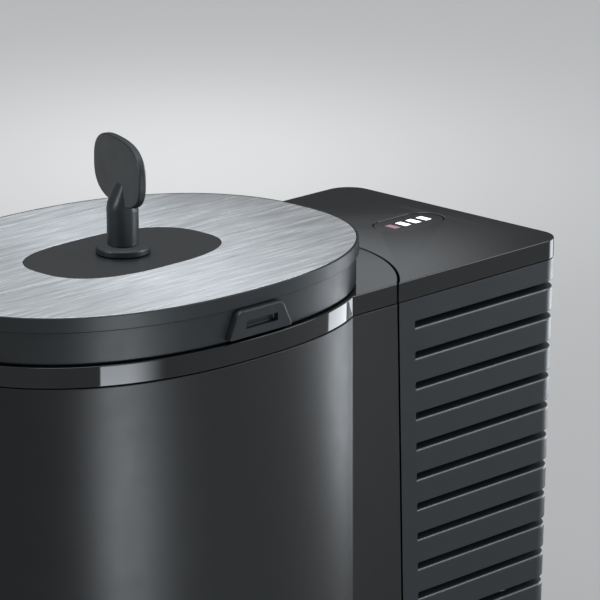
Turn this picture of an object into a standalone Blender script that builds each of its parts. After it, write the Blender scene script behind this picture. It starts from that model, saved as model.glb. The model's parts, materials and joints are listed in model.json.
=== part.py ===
"""Bench-top thermoelectric milk cooler, built as an assembly of separate parts.

Metres, +Z up. The origin is on the bench, under the middle of the whole machine. +X is across the
machine, -Y is its round front with the milk container and +Y is its louvred rear.
"""

import math

import bmesh
import bpy
from mathutils import Matrix, Vector

# Clearances
GAP = 0.0003                # between touching parts
SEAM_GAP = 0.0008           # visible joint between the front and the rear module

# Heights
FOOT_H = 0.003
BASE_T = 0.003
TOP_Z = 0.201               # shelf and rear cover
BAND_H = 0.00685            # thickness of the top frame and the rear cover
LID_TOP_Z = 0.2169
BASE_TOP_Z = FOOT_H + BASE_T
WALL_LOW_Z = BASE_TOP_Z + GAP
FRAME_LOW_Z = TOP_Z - BAND_H
WALL_TOP_Z = FRAME_LOW_Z - GAP

# Plan of the lid, a superellipse that the skirt, collar and container follow
LID_Y = -0.0386
LID_HALF_X = 0.0624
LID_HALF_Y = 0.0844
LID_POWER = 2.32
LID_POINTS = 56
COLLAR_OUT = 0.0014         # the front module stands this far outside the lid's plan

# Plan of the rear block
SIDE_X = 0.0528
BACK_Y = 0.1244
CORNER_R = 0.0097
SEAM_R = 0.0673             # the seam on top is an arc of this radius
SEAM_Y = -0.0036            # centre of that arc
SIDE_DRAFT = 0.0088         # the sides lean in towards the base, per metre of height
BACK_DRAFT = 0.0148
SEAM_DRAFT = 0.028
FRONT_ARC_STEPS = 48
SEAM_STEPS = 14
CORNER_STEPS = 6

# Walls
SHELL_T = 0.002
REAR_WALL_T = 0.006

# Louvres
LOUVRE_COUNT = 16
LOUVRE_PITCH = 0.011
LOUVRE_H = 0.0027
LOUVRE_DEPTH = 0.004
LOUVRE_FIRST_Z = TOP_Z - 0.0177     # lower edge of the top louvre
LOUVRE_START = 0.0079               # behind the seam
VENT_WALL_T = 0.0032                # wall left where the louvres open into the block
VENT_LOW_Z = 0.046
VENT_HIGH_Z = 0.178
VENT_BACK_X = 0.034
VENT_SIDE_Y = (0.080, 0.108)
VENT_POCKET_T = 0.007

# Indicator in the rear cover
PILL_Y = 0.1003
PILL_HALF_W = 0.0078
PILL_STRAIGHT = 0.0072
PILL_DEPTH = 0.0013
PILL_STEPS = 10
BAR_COUNT = 4
BAR_SIZE = (0.0077, 0.0033)
BAR_PITCH = 0.0054
BAR_FIRST_Y = 0.0920
BAR_LOW_Z = 0.1868
BOARD_LOW_Z = 0.1840
BOARD_T = 0.0016

# Container, its collar and the cooling well, as offsets from the lid's plan
COLLAR_TOP_Z = 0.2117
COLLAR_LOW_Z = 0.2021
COLLAR_FOOT_Z = TOP_Z + GAP
CUP_OFFSET = -0.019
CUP_T = 0.001
CUP_LOW_Z = 0.064
CUP_RIM_Z = 0.210
WELL_OFFSET = -0.0183
WELL_T = 0.0015
FOAM_GAP = 0.0004
FRAME_HOLE_OFFSET = -0.018

# Grip lugs on the collar
LUG_HALF_LOW = 0.0143
LUG_HALF_HIGH = 0.0102
LUG_LOW_Z = COLLAR_LOW_Z + 0.0002
LUG_HIGH_Z = 0.2121
LUG_OUT = 0.0032
LUG_SLOT = (0.0144, 0.0027)
LUG_SLOT_Z = 0.2066

# Lid
LID_LOW_Z = 0.21205
PLATE_T = 0.0008
LIP_W = 0.0006
INLAY_HALF_X = 0.0224
INLAY_HALF_Y = 0.0361
INLAY_POWER = 2.63
PORT_HOLE_R = 0.0062
LINER_OFFSET = -0.0225
LINER_LOW_Z = 0.206
LINER_T = 0.0018
LINER_FLOOR_T = 0.003
LID_CORE = -0.045           # offset that every solid layer of the lid is closed at
RING_SEAT_R = 0.0079
RING_SEAT_DEPTH = 0.0019

# Port, stopper and milk tube, all on the lid's centre
FLANGE_R = 0.0091
FLANGE_T = 0.0023
SLEEVE_R = 0.0059
PORT_BORE_R = 0.0041
TUBE_R = 0.003
TUBE_BORE_R = 0.002
TUBE_LOW_Z = 0.070
SLEEVE_LOW_Z = 0.2035
STEM_R = 0.0053
STEM_TOP = 0.0152           # above the lid
PLUG_R = 0.0038
PLUG_LOW_Z = 0.2095
GROOVE_Z = 0.2128           # middle of the stopper ring's groove
GROOVE_HALF = 0.0006
GROOVE_DEPTH = 0.0008
PADDLE_HALF_W = 0.0193
PADDLE_HALF_H = 0.0114
PADDLE_POWER = 2.75
PADDLE_T = 0.0026
PADDLE_X = -0.0020
PADDLE_Z = LID_TOP_Z + 0.0274
PADDLE_TURN = math.radians(-20)

# Cooling chain in the rear block
CHAIN_Z = 0.115
BLOCK_HALF = 0.020
BLOCK_BACK_Y = 0.0620
PELTIER_T = 0.004
SINK_BASE_Y = 0.071
SINK_BASE_T = 0.005
SINK_HALF_X = 0.042
SINK_HALF_Z = 0.052
FIN_COUNT = 12
FIN_T = 0.0014
FIN_H = 0.020
WINDOW_HALF = 0.0225
SENSOR_HALF_X = 0.003
SENSOR_Z = (0.1525, 0.1595)
FAN_Y = 0.0975
FAN_T = 0.015
FAN_HALF = 0.040
FAN_BORE_R = 0.0375
FAN_TIP_R = 0.0362
FAN_HUB_R = 0.0155
FAN_BACK_Y = FAN_Y + FAN_T
FAN_BACK_R = 0.0145
FAN_BACK_T = 0.002
FAN_ARMS = 3
FAN_ARM_HALF = 0.002
AXLE_R = 0.00155
BEARING_R = 0.0029
STATOR_R = 0.0115
BLADE_COUNT = 7
BLADE_T = 0.0012
BLADE_CHORD = 0.0124
BLADE_TWIST = math.radians(48)

# Service panel at the rear
PANEL_HALF_X = 0.026
PANEL_LOW_Z = 0.0132
PANEL_HIGH_Z = 0.0440
PANEL_FACE_Y = 0.1214
SWITCH_X = -0.011
INLET_X = 0.013
SERVICE_Z = 0.0285
PANEL_T = 0.004
SWITCH_HALF = (0.0065, 0.0105)      # tube of the switch, half its width and height
BEZEL_LAP = 0.0015                  # how far its flange laps over the panel
BEZEL_T = 0.0012
BEZEL_WALL_T = 0.0012
BEZEL_DEPTH = 0.0125
ROCKER_HALF_X = 0.005
ROCKER_PIVOT_IN = 0.0028            # pivot, behind the panel's face
ROCKER_REST = math.radians(8)
INLET_R = 0.005
INLET_BORE_R = 0.0031
INLET_RIM_R = 0.007
INLET_RIM_T = 0.0012
INLET_EDGE = 0.0004
INLET_DEPTH = 0.0125
INLET_FLOOR_T = 0.0015
INLET_PIN_R = 0.001

# Fasteners
FOOT_R = 0.007
FOOT_EDGE = 0.0007
FEET = ((-0.036, -0.088), (0.036, -0.088), (-0.036, 0.098), (0.036, 0.098))
BOSSES = ((-0.0575, LID_Y), (0.0575, LID_Y), (-0.0425, 0.112), (0.0425, 0.112))
BOSS_R = 0.0048
BOSS_H = 0.014
SCREW_R = 0.0014
SCREW_HEAD_R = 0.003
SCREW_HEAD_T = 0.0011
SCREW_REACH = 0.0095        # above the walls' lower edge
FAN_SCREW_HEAD_R = 0.0026
FAN_SCREW_HEAD_T = 0.0022

MODEL = "milk_cooler"
CUTTERS = "cutters"


# ---------------------------------------------------------------- scene and materials

def clear_scene():
    for item in list(bpy.data.objects):
        bpy.data.objects.remove(item)
    for name in (MODEL, CUTTERS):
        collection = bpy.data.collections.new(name)
        bpy.context.scene.collection.children.link(collection)


def material(name, colour, roughness, metallic=0.0):
    found = bpy.data.materials.get(name)
    if found:
        return found
    made = bpy.data.materials.new(name)
    made.use_nodes = True
    shader = made.node_tree.nodes["Principled BSDF"]
    shader.inputs["Base Color"].default_value = (*colour, 1)
    shader.inputs["Roughness"].default_value = roughness
    shader.inputs["Metallic"].default_value = metallic
    return made


def satin_metal():
    return material("satin_metal", (0.045, 0.048, 0.052), 0.38, 0.6)


def gloss_black():
    return material("gloss_black", (0.012, 0.013, 0.014), 0.08)


def grey_plastic():
    return material("grey_plastic", (0.035, 0.038, 0.041), 0.42)


def black_plastic():
    return material("black_plastic", (0.014, 0.015, 0.016), 0.5)


def brushed_steel():
    return material("brushed_steel", (0.62, 0.63, 0.64), 0.3, 1.0)


def steel():
    return material("steel", (0.6, 0.6, 0.6), 0.25, 1.0)


def aluminium():
    return material("aluminium", (0.72, 0.73, 0.75), 0.35, 1.0)


def silicone():
    return material("silicone", (0.08, 0.08, 0.085), 0.6)


def rubber():
    return material("rubber", (0.02, 0.02, 0.02), 0.8)


def foam():
    return material("foam", (0.75, 0.73, 0.66), 0.9)


def ceramic():
    return material("ceramic", (0.85, 0.85, 0.83), 0.5)


def board_green():
    return material("board_green", (0.02, 0.11, 0.05), 0.45)


def bronze():
    return material("bronze", (0.5, 0.33, 0.16), 0.4, 1.0)


def copper():
    return material("copper", (0.55, 0.26, 0.12), 0.4, 1.0)


def light_white():
    return material("light_white", (0.95, 0.96, 1.0), 0.3)


def light_red():
    return material("light_red", (0.55, 0.30, 0.33), 0.35)


# ---------------------------------------------------------------- making objects

def add_mesh(name, mesh, finish=None, collection=MODEL):
    """Puts a bmesh in the scene as a named object with its faces pointing out."""
    bmesh.ops.recalc_face_normals(mesh, faces=mesh.faces)
    data = bpy.data.meshes.new(name)
    mesh.to_mesh(data)
    mesh.free()
    item = bpy.data.objects.new(name, data)
    bpy.data.collections[collection].objects.link(item)
    if finish:
        data.materials.append(finish)
    if collection == CUTTERS:
        item.hide_render = True
        item.display_type = "WIRE"
    return item


def shade(item, angle=35):
    item.data.shade_smooth()
    item.data.set_sharp_from_angle(angle=math.radians(angle))
    return item


def box(name, low, high, finish=None, collection=MODEL):
    mesh = bmesh.new()
    bmesh.ops.create_cube(mesh, size=1)
    size = [h - l for l, h in zip(low, high)]
    middle = [(h + l) / 2 for l, h in zip(low, high)]
    bmesh.ops.scale(mesh, vec=size, verts=mesh.verts)
    bmesh.ops.translate(mesh, vec=middle, verts=mesh.verts)
    return add_mesh(name, mesh, finish, collection)


def rod(name, radius, low, high, axis="Z", finish=None, collection=MODEL, steps=24):
    """A cylinder from low to high, two points on a line along the axis."""
    mesh = bmesh.new()
    low, high = Vector(low), Vector(high)
    turn = {"X": Matrix.Rotation(math.pi / 2, 4, "Y"), "Y": Matrix.Rotation(math.pi / 2, 4, "X")}
    bmesh.ops.create_cone(
        mesh, cap_ends=True, segments=steps, radius1=radius, radius2=radius,
        depth=(high - low).length,
        matrix=Matrix.Translation((low + high) / 2) @ turn.get(axis, Matrix()),
    )
    return add_mesh(name, mesh, finish, collection)


def plate(name, loops, low_z, high_z, finish=None, collection=MODEL):
    """A flat plate between two heights. The first loop is its outline and the rest are holes."""
    curve = bpy.data.curves.new(name, "CURVE")
    curve.dimensions = "2D"
    curve.fill_mode = "BOTH"
    curve.extrude = (high_z - low_z) / 2
    for loop in loops:
        spline = curve.splines.new("POLY")
        spline.points.add(len(loop) - 1)
        for point, (x, y) in zip(spline.points, loop):
            point.co = (x, y, 0, 1)
        spline.use_cyclic_u = True
    guide = bpy.data.objects.new(name + "_curve", curve)
    bpy.context.scene.collection.objects.link(guide)
    bpy.context.view_layer.update()
    flat = bpy.data.meshes.new_from_object(guide.evaluated_get(bpy.context.evaluated_depsgraph_get()))
    mesh = bmesh.new()
    mesh.from_mesh(flat)
    bmesh.ops.remove_doubles(mesh, verts=mesh.verts, dist=1e-6)
    bmesh.ops.translate(mesh, vec=(0, 0, (low_z + high_z) / 2), verts=mesh.verts)
    bpy.data.objects.remove(guide)
    bpy.data.curves.remove(curve)
    bpy.data.meshes.remove(flat)
    return add_mesh(name, mesh, finish, collection)


def loft(name, rings, closed, finish=None, collection=MODEL):
    """Joins rings with the same number of points. A closed loft joins the last ring to the first,
    as in a tube wall, and any other is capped at both ends."""
    mesh = bmesh.new()
    rows = [[mesh.verts.new(point) for point in ring] for ring in rings]
    pairs = list(zip(rows, rows[1:]))
    if closed:
        pairs.append((rows[-1], rows[0]))
    for lower, upper in pairs:
        for i in range(len(lower)):
            j = (i + 1) % len(lower)
            mesh.faces.new((lower[i], lower[j], upper[j], upper[i]))
    if not closed:
        mesh.faces.new(rows[0])
        mesh.faces.new(list(reversed(rows[-1])))
    return add_mesh(name, mesh, finish, collection)


def turned(name, profile, finish=None, steps=32, closed=False, collection=MODEL):
    """Turns a profile of (radius, height) points about Z with a Screw modifier."""
    mesh = bmesh.new()
    points = [mesh.verts.new((radius, 0, height)) for radius, height in profile]
    edges = list(zip(points, points[1:]))
    if closed:
        edges.append((points[-1], points[0]))
    for pair in edges:
        mesh.edges.new(pair)
    item = add_mesh(name, mesh, finish, collection)
    screw = item.modifiers.new("turn", "SCREW")
    screw.steps = steps
    screw.render_steps = steps
    screw.use_merge_vertices = True
    screw.merge_threshold = 1e-6
    screw.use_smooth_shade = False
    return item


def place(item, x=0.0, y=0.0, z=0.0, axis=None, angle=0.0):
    item.location = (x, y, z)
    if axis:
        item.rotation_euler["XYZ".index(axis)] = angle
    return item


def join(name, pieces, finish):
    """Unites solids into one, removing the pieces."""
    first = pieces[0]
    for other in pieces[1:]:
        use_boolean(first, other, "UNION")
    return bake(first, name, finish, pieces)


def use_boolean(item, other, operation="DIFFERENCE"):
    modifier = item.modifiers.new(other.name, "BOOLEAN")
    modifier.operation = operation
    modifier.solver = "EXACT"
    modifier.object = other


def bake(item, name, finish, used=()):
    """Replaces an object with its evaluated mesh in world space."""
    bpy.context.view_layer.update()
    graph = bpy.context.evaluated_depsgraph_get()
    data = bpy.data.meshes.new_from_object(item.evaluated_get(graph))
    data.transform(item.matrix_world)
    mesh = bmesh.new()
    mesh.from_mesh(data)
    bmesh.ops.remove_doubles(mesh, verts=mesh.verts, dist=2e-6)
    bmesh.ops.dissolve_degenerate(mesh, edges=mesh.edges, dist=1e-6)
    bpy.data.meshes.remove(data)
    for old in set(used) | {item}:
        bpy.data.objects.remove(old)
    made = add_mesh(name, mesh)
    made.data.materials.clear()
    made.data.materials.append(finish)
    return made


def cut(item, *cutters):
    """Cuts an object and keeps its name and material."""
    name = item.name
    finish = item.data.materials[0]
    for cutter in cutters:
        use_boolean(item, cutter)
    item.name = name + "_uncut"
    return bake(item, name, finish, cutters)


def cutter_box(name, low, high):
    return box(name, low, high, collection=CUTTERS)


def cutter_rod(name, radius, low, high, axis="Z", steps=24):
    return rod(name, radius, low, high, axis, collection=CUTTERS, steps=steps)


# ---------------------------------------------------------------- outlines

def superellipse(half_x, half_y, power, centre_y, angles):
    points = []
    for angle in angles:
        c, s = math.cos(angle), math.sin(angle)
        x = half_x * math.copysign(abs(c) ** (2 / power), c)
        y = half_y * math.copysign(abs(s) ** (2 / power), s)
        points.append((x, centre_y + y))
    return points


def turn_angles(count):
    return [2 * math.pi * i / count for i in range(count)]


def lid_plan(offset):
    angles = turn_angles(LID_POINTS)
    return superellipse(LID_HALF_X + offset, LID_HALF_Y + offset, LID_POWER, LID_Y, angles)


def inlay_plan(offset):
    angles = turn_angles(40)
    return superellipse(INLAY_HALF_X + offset, INLAY_HALF_Y + offset, INLAY_POWER, LID_Y, angles)


def circle_plan(radius, steps=32, x=0.0, y=LID_Y):
    return [(x + radius * math.cos(a), y + radius * math.sin(a)) for a in turn_angles(steps)]


def pill_plan(offset):
    points = []
    for end, start in ((1, 0), (-1, math.pi)):
        for i in range(PILL_STEPS + 1):
            angle = start + math.pi * i / PILL_STEPS
            x = (PILL_HALF_W + offset) * math.cos(angle)
            y = (PILL_HALF_W + offset) * math.sin(angle)
            points.append((x, PILL_Y + end * PILL_STRAIGHT + y))
    return points


def side_at(z):
    return SIDE_X - SIDE_DRAFT * (TOP_Z - z)


def back_at(z):
    return BACK_Y - BACK_DRAFT * (TOP_Z - z)


def seam_centre_at(z):
    return SEAM_Y + SEAM_DRAFT * (TOP_Z - z)


def front_arc(offset, z):
    """The lid-shaped front of the machine, from the right crease round the front to the left one."""
    half_x = LID_HALF_X + COLLAR_OUT + offset
    half_y = LID_HALF_Y + COLLAR_OUT + offset
    crease = math.acos(((side_at(z) + offset) / half_x) ** (LID_POWER / 2))
    sweep = math.pi + 2 * crease
    angles = [crease - sweep * i / FRONT_ARC_STEPS for i in range(FRONT_ARC_STEPS + 1)]
    return superellipse(half_x, half_y, LID_POWER, LID_Y, angles)


def seam_arc(radius, side, z):
    """The seam's arc from -side to +side."""
    centre = seam_centre_at(z)
    half = math.asin(side / radius)
    angles = [-half + 2 * half * i / SEAM_STEPS for i in range(SEAM_STEPS + 1)]
    return [(radius * math.sin(a), centre + radius * math.cos(a)) for a in angles]


def back_corners(offset, z):
    """The two rear corners, from the right side round to the left side."""
    side = side_at(z) + offset - (CORNER_R + offset)
    back = back_at(z) + offset - (CORNER_R + offset)
    points = []
    for sign, start in ((1, 0), (-1, math.pi / 2)):
        for i in range(CORNER_STEPS + 1):
            angle = start + math.pi / 2 * i / CORNER_STEPS
            x = sign * side + (CORNER_R + offset) * math.cos(angle)
            points.append((x, back + (CORNER_R + offset) * math.sin(angle)))
    return points


def front_plan(offset, z):
    arc = seam_arc(SEAM_R - SEAM_GAP / 2 + offset, side_at(z) + offset, z)
    return front_arc(offset, z) + arc


def rear_plan(offset, z, front_offset=None):
    front_offset = offset if front_offset is None else front_offset
    arc = seam_arc(SEAM_R + SEAM_GAP / 2 - front_offset, side_at(z) + offset, z)
    return back_corners(offset, z) + arc


def whole_plan(offset, z):
    """Outline of both modules together."""
    return front_arc(offset, z) + list(reversed(back_corners(offset, z)))


def at_height(points, z):
    return [(x, y, z) for x, y in points]


def lid_loft(name, profile, closed, finish):
    """Sweeps a profile of (offset, height) points round the lid's plan."""
    rings = [at_height(lid_plan(offset), z) for offset, z in profile]
    return shade(loft(name, rings, closed, finish))


# ---------------------------------------------------------------- housing

def make_boss(name, x, y):
    return rod(name, BOSS_R, (x, y, WALL_LOW_Z), (x, y, WALL_LOW_Z + BOSS_H), steps=20)


def boss_hole(name, x, y):
    top = WALL_LOW_Z + BOSS_H
    return cutter_rod(name, SCREW_R + GAP, (x, y, 0), (x, y, top - 0.003), steps=16)


def window_cutter(name):
    low = (-WINDOW_HALF, 0.050, CHAIN_Z - WINDOW_HALF)
    high = (WINDOW_HALF, 0.0705, CHAIN_Z + WINDOW_HALF)
    return cutter_box(name, low, high)


def make_front_housing():
    rings = [
        at_height(front_plan(0, WALL_LOW_Z), WALL_LOW_Z),
        at_height(front_plan(0, WALL_TOP_Z), WALL_TOP_Z),
        at_height(front_plan(-SHELL_T, WALL_TOP_Z), WALL_TOP_Z),
        at_height(front_plan(-SHELL_T, WALL_LOW_Z), WALL_LOW_Z),
    ]
    shell = loft("front_shell", rings, True)
    bosses = [make_boss(f"front_boss_{i}", x, y) for i, (x, y) in enumerate(BOSSES[:2])]
    trimmed = [trim_to_front(boss) for boss in bosses]
    housing = join("front_housing", [shell] + trimmed, satin_metal())
    holes = [boss_hole(f"front_boss_hole_{i}", x, y) for i, (x, y) in enumerate(BOSSES[:2])]
    return shade(cut(housing, window_cutter("front_window"), *holes))


def trim_to_front(item):
    """Keeps the part of a boss inside the middle of the front shell's wall."""
    middle = -SHELL_T / 2
    low, high = WALL_LOW_Z, WALL_LOW_Z + BOSS_H
    rings = [at_height(front_plan(middle, z), z) for z in (low - 0.01, high + 0.01)]
    limit = loft(item.name + "_limit", rings, False, collection=CUTTERS)
    use_boolean(item, limit, "INTERSECT")
    return bake(item, item.name + "_trimmed", satin_metal(), [limit])


def louvre_low_z(index):
    return LOUVRE_FIRST_Z - LOUVRE_PITCH * index


def louvre_ring(z):
    """Plan of one louvre's cutter: a U round the back of the block."""
    start = seam_centre_at(z) + math.sqrt(SEAM_R**2 - side_at(z) ** 2) + LOUVRE_START
    ring = []
    for offset, backwards in ((0.004, False), (-LOUVRE_DEPTH, True)):
        side = side_at(z) + offset
        path = [(side, start)] + back_corners(offset, z) + [(-side, start)]
        ring += list(reversed(path)) if backwards else path
    return ring


def louvre_cutter():
    mesh = bmesh.new()
    for index in range(LOUVRE_COUNT):
        low = louvre_low_z(index)
        ring = louvre_ring(low)
        face = mesh.faces.new([mesh.verts.new((x, y, low)) for x, y in ring])
        grown = bmesh.ops.extrude_face_region(mesh, geom=[face])["geom"]
        top = [item for item in grown if isinstance(item, bmesh.types.BMVert)]
        bmesh.ops.translate(mesh, vec=(0, 0, LOUVRE_H), verts=top)
    return add_mesh("louvre_cutter", mesh, collection=CUTTERS)


def vent_pockets():
    """Pockets inside the walls that open the louvres to the air."""
    reach = back_at(VENT_LOW_Z) - VENT_WALL_T
    side = side_at(VENT_LOW_Z) - VENT_WALL_T
    pockets = [cutter_box("vent_back", (-VENT_BACK_X, reach - VENT_POCKET_T, VENT_LOW_Z),
                          (VENT_BACK_X, reach, VENT_HIGH_Z))]
    for sign in (-1, 1):
        x = sorted((sign * (side - VENT_POCKET_T), sign * side))
        low = (x[0], VENT_SIDE_Y[0], VENT_LOW_Z)
        high = (x[1], VENT_SIDE_Y[1], VENT_HIGH_Z)
        pockets.append(cutter_box(f"vent_side_{sign}", low, high))
    return pockets


def make_rear_housing():
    rings = [
        at_height(rear_plan(0, WALL_LOW_Z), WALL_LOW_Z),
        at_height(rear_plan(0, WALL_TOP_Z), WALL_TOP_Z),
        at_height(rear_plan(-REAR_WALL_T, WALL_TOP_Z, -SHELL_T), WALL_TOP_Z),
        at_height(rear_plan(-REAR_WALL_T, WALL_LOW_Z, -SHELL_T), WALL_LOW_Z),
    ]
    shell = loft("rear_shell", rings, True)
    bosses = [make_boss(f"rear_boss_{i}", x, y) for i, (x, y) in enumerate(BOSSES[2:])]
    housing = join("rear_housing", [shell] + bosses, grey_plastic())
    holes = [boss_hole(f"rear_boss_hole_{i}", x, y) for i, (x, y) in enumerate(BOSSES[2:])]
    low = (-PANEL_HALF_X - GAP, PANEL_FACE_Y - 0.02, PANEL_LOW_Z - GAP)
    high = (PANEL_HALF_X + GAP, PANEL_FACE_Y + 0.02, PANEL_HIGH_Z + GAP)
    opening = cutter_box("panel_opening", low, high)
    window = window_cutter("rear_window")
    return shade(cut(housing, louvre_cutter(), *vent_pockets(), window, opening, *holes))


def make_front_top_frame():
    loops = [front_plan(0, TOP_Z), lid_plan(FRAME_HOLE_OFFSET)]
    return shade(plate("front_top_frame", loops, FRAME_LOW_Z, TOP_Z, gloss_black()))


def make_rear_top_cover():
    cover = plate("rear_top_cover", [rear_plan(0, TOP_Z)], FRAME_LOW_Z, TOP_Z, gloss_black())
    pocket = plate("pill_hole", [pill_plan(0)], FRAME_LOW_Z - 0.01, TOP_Z + 0.01, collection=CUTTERS)
    return shade(cut(cover, pocket))


def make_base_plate():
    outline = whole_plan(-0.001, BASE_TOP_Z)
    holes = [circle_plan(SCREW_R + GAP, 16, x, y) for x, y in BOSSES]
    base = plate("base_plate", [outline] + holes, FOOT_H, BASE_TOP_Z, black_plastic())
    sinks = []
    for i, (x, y) in enumerate(BOSSES):
        low, high = (x, y, 0), (x, y, FOOT_H + SCREW_HEAD_T + 0.0005)
        sinks.append(cutter_rod(f"head_sink_{i}", SCREW_HEAD_R + GAP, low, high, steps=20))
    return shade(cut(base, *sinks))


def make_feet():
    top = FOOT_H - GAP
    profile = [(0, top), (FOOT_R, top), (FOOT_R, FOOT_EDGE), (FOOT_R - FOOT_EDGE, 0), (0, 0)]
    for i, (x, y) in enumerate(FEET, 1):
        place(turned(f"foot_{i}", profile, rubber(), steps=28), x, y)


def make_base_screws():
    head_low = FOOT_H + 0.0002
    head_top = head_low + SCREW_HEAD_T
    tip = WALL_LOW_Z + SCREW_REACH
    profile = [
        (0, tip), (SCREW_R * 0.6, tip), (SCREW_R, tip - 0.0008), (SCREW_R, head_top),
        (SCREW_HEAD_R, head_top), (SCREW_HEAD_R, head_low), (0, head_low),
    ]
    for i, (x, y) in enumerate(BOSSES, 1):
        place(turned(f"base_screw_{i}", profile, steel(), steps=16), x, y)


# ---------------------------------------------------------------- cooling chain

def make_foam():
    """Foam that fills the front module round the well, the cold block and the sensor."""
    low, high = BASE_TOP_Z + 0.003, WALL_TOP_Z - 0.0017
    rings = [at_height(front_plan(-SHELL_T - FOAM_GAP, z), z) for z in (low, high)]
    body = loft("insulation_foam", rings, False, foam())
    well_side = lid_plan(WELL_OFFSET + WELL_T + FOAM_GAP)
    hole = plate("foam_hole", [well_side], CUP_LOW_Z - 0.0032, high + 0.01, collection=CUTTERS)
    reach = BLOCK_HALF + 0.0025
    channel = cutter_box("foam_channel", (-reach, 0, CHAIN_Z - reach), (reach, 0.08, CHAIN_Z + reach))
    clearance = []
    for i, (x, y) in enumerate(BOSSES[:2]):
        top = WALL_LOW_Z + BOSS_H + 0.001
        clearance.append(cutter_rod(f"foam_boss_{i}", BOSS_R + 0.001, (x, y, 0), (x, y, top), steps=20))
    half_x, low_z, high_z = SENSOR_HALF_X + 0.0015, SENSOR_Z[0] - 0.0025, SENSOR_Z[1] + 0.0025
    sensor = cutter_box("foam_sensor", (-half_x, 0, low_z), (half_x, 0.08, high_z))
    return shade(cut(body, hole, channel, sensor, *clearance))


def make_cooling_well():
    inner, outer = WELL_OFFSET, WELL_OFFSET + WELL_T
    low, high = CUP_LOW_Z - 0.0023, WALL_TOP_Z
    profile = [
        (outer - 0.006, low), (outer - 0.0015, low + 0.0012), (outer, low + 0.006),
        (outer, high - 0.0013), (outer + 0.006, high - 0.0013), (outer + 0.006, high),
        (inner, high), (inner, low + 0.007), (inner - 0.0015, low + 0.0025),
        (inner - 0.006, low + 0.0015),
    ]
    return lid_loft("cooling_well", profile, False, aluminium())


def well_cutter(name, offset):
    return plate(name, [lid_plan(offset)], 0, TOP_Z, collection=CUTTERS)


def make_cold_block():
    low = (-BLOCK_HALF, 0.018, CHAIN_Z - BLOCK_HALF)
    high = (BLOCK_HALF, BLOCK_BACK_Y, CHAIN_Z + BLOCK_HALF)
    block = box("cold_block", low, high, aluminium())
    return cut(block, well_cutter("well_side", WELL_OFFSET + WELL_T + GAP))


def make_temperature_sensor():
    low = (-SENSOR_HALF_X, 0.020, SENSOR_Z[0])
    high = (SENSOR_HALF_X, 0.036, SENSOR_Z[1])
    sensor = box("temperature_sensor", low, high, black_plastic())
    return cut(sensor, well_cutter("sensor_side", WELL_OFFSET + WELL_T + GAP))


def make_peltier():
    front = BLOCK_BACK_Y + GAP
    low = (-BLOCK_HALF, front, CHAIN_Z - BLOCK_HALF)
    high = (BLOCK_HALF, front + PELTIER_T, CHAIN_Z + BLOCK_HALF)
    return box("peltier_module", low, high, ceramic())


def make_heat_sink():
    boss_front = BLOCK_BACK_Y + 2 * GAP + PELTIER_T
    base_back = SINK_BASE_Y + SINK_BASE_T
    pieces = [
        box("sink_base", (-SINK_HALF_X, SINK_BASE_Y, CHAIN_Z - SINK_HALF_Z),
            (SINK_HALF_X, base_back, CHAIN_Z + SINK_HALF_Z)),
        box("sink_boss", (-BLOCK_HALF, boss_front, CHAIN_Z - BLOCK_HALF),
            (BLOCK_HALF, SINK_BASE_Y + 0.001, CHAIN_Z + BLOCK_HALF)),
    ]
    pitch = (2 * SINK_HALF_X - FIN_T) / (FIN_COUNT - 1)
    for i in range(FIN_COUNT):
        x = -SINK_HALF_X + FIN_T / 2 + pitch * i
        low = (x - FIN_T / 2, base_back - 0.001, CHAIN_Z - SINK_HALF_Z)
        high = (x + FIN_T / 2, base_back + FIN_H, CHAIN_Z + SINK_HALF_Z)
        pieces.append(box(f"fin_{i}", low, high))
    return join("heat_sink", pieces, aluminium())


def make_fan_frame():
    """Square frame with a round bore, and three arms that carry the motor at its back."""
    low = (-FAN_HALF, FAN_Y, CHAIN_Z - FAN_HALF)
    high = (FAN_HALF, FAN_BACK_Y, CHAIN_Z + FAN_HALF)
    body = box("fan_body", low, high)
    front, back = (0, FAN_Y - 0.01, CHAIN_Z), (0, FAN_BACK_Y + 0.01, CHAIN_Z)
    bore = cutter_rod("fan_bore", FAN_BORE_R, front, back, "Y", 48)
    use_boolean(body, bore)
    ring = bake(body, "fan_ring", black_plastic(), [bore])
    hub_front = (0, FAN_BACK_Y - FAN_BACK_T, CHAIN_Z)
    hub = rod("fan_back", FAN_BACK_R, hub_front, (0, FAN_BACK_Y, CHAIN_Z), "Y", steps=32)
    arms = []
    for i in range(FAN_ARMS):
        arm = box(f"fan_arm_{i}", (FAN_BACK_R / 2, FAN_BACK_Y - FAN_BACK_T + 0.0001, -FAN_ARM_HALF),
                  (FAN_BORE_R + 0.001, FAN_BACK_Y - 0.0001, FAN_ARM_HALF))
        arm.location.z = CHAIN_Z
        arm.rotation_euler.y = 2 * math.pi * i / FAN_ARMS + math.pi / 6
        arms.append(arm)
    frame = join("fan_frame", [ring, hub] + arms, black_plastic())
    holes = [cutter_rod("fan_back_hole", BEARING_R + GAP, front, back, "Y", 20)]
    for i, (x, z) in enumerate(fan_corners()):
        low, high = (x, FAN_Y - 0.01, z), (x, FAN_BACK_Y + 0.01, z)
        holes.append(cutter_rod(f"fan_hole_{i}", SCREW_R + GAP, low, high, "Y", 14))
    return shade(cut(frame, *holes))


def fan_corners():
    reach = FAN_HALF - 0.0042
    return [(x * reach, CHAIN_Z + z * reach) for z in (-1, 1) for x in (-1, 1)]


def ring_about_y(name, inner, outer, front, back, finish, steps=32):
    """A plain ring on the fan's axis, between two positions along Y."""
    length = back - front
    profile = [(outer, length / 2), (outer, -length / 2), (inner, -length / 2), (inner, length / 2)]
    item = turned(name, profile, finish, steps, closed=True)
    return place(item, 0, (front + back) / 2, CHAIN_Z, "X", math.pi / 2)


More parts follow.
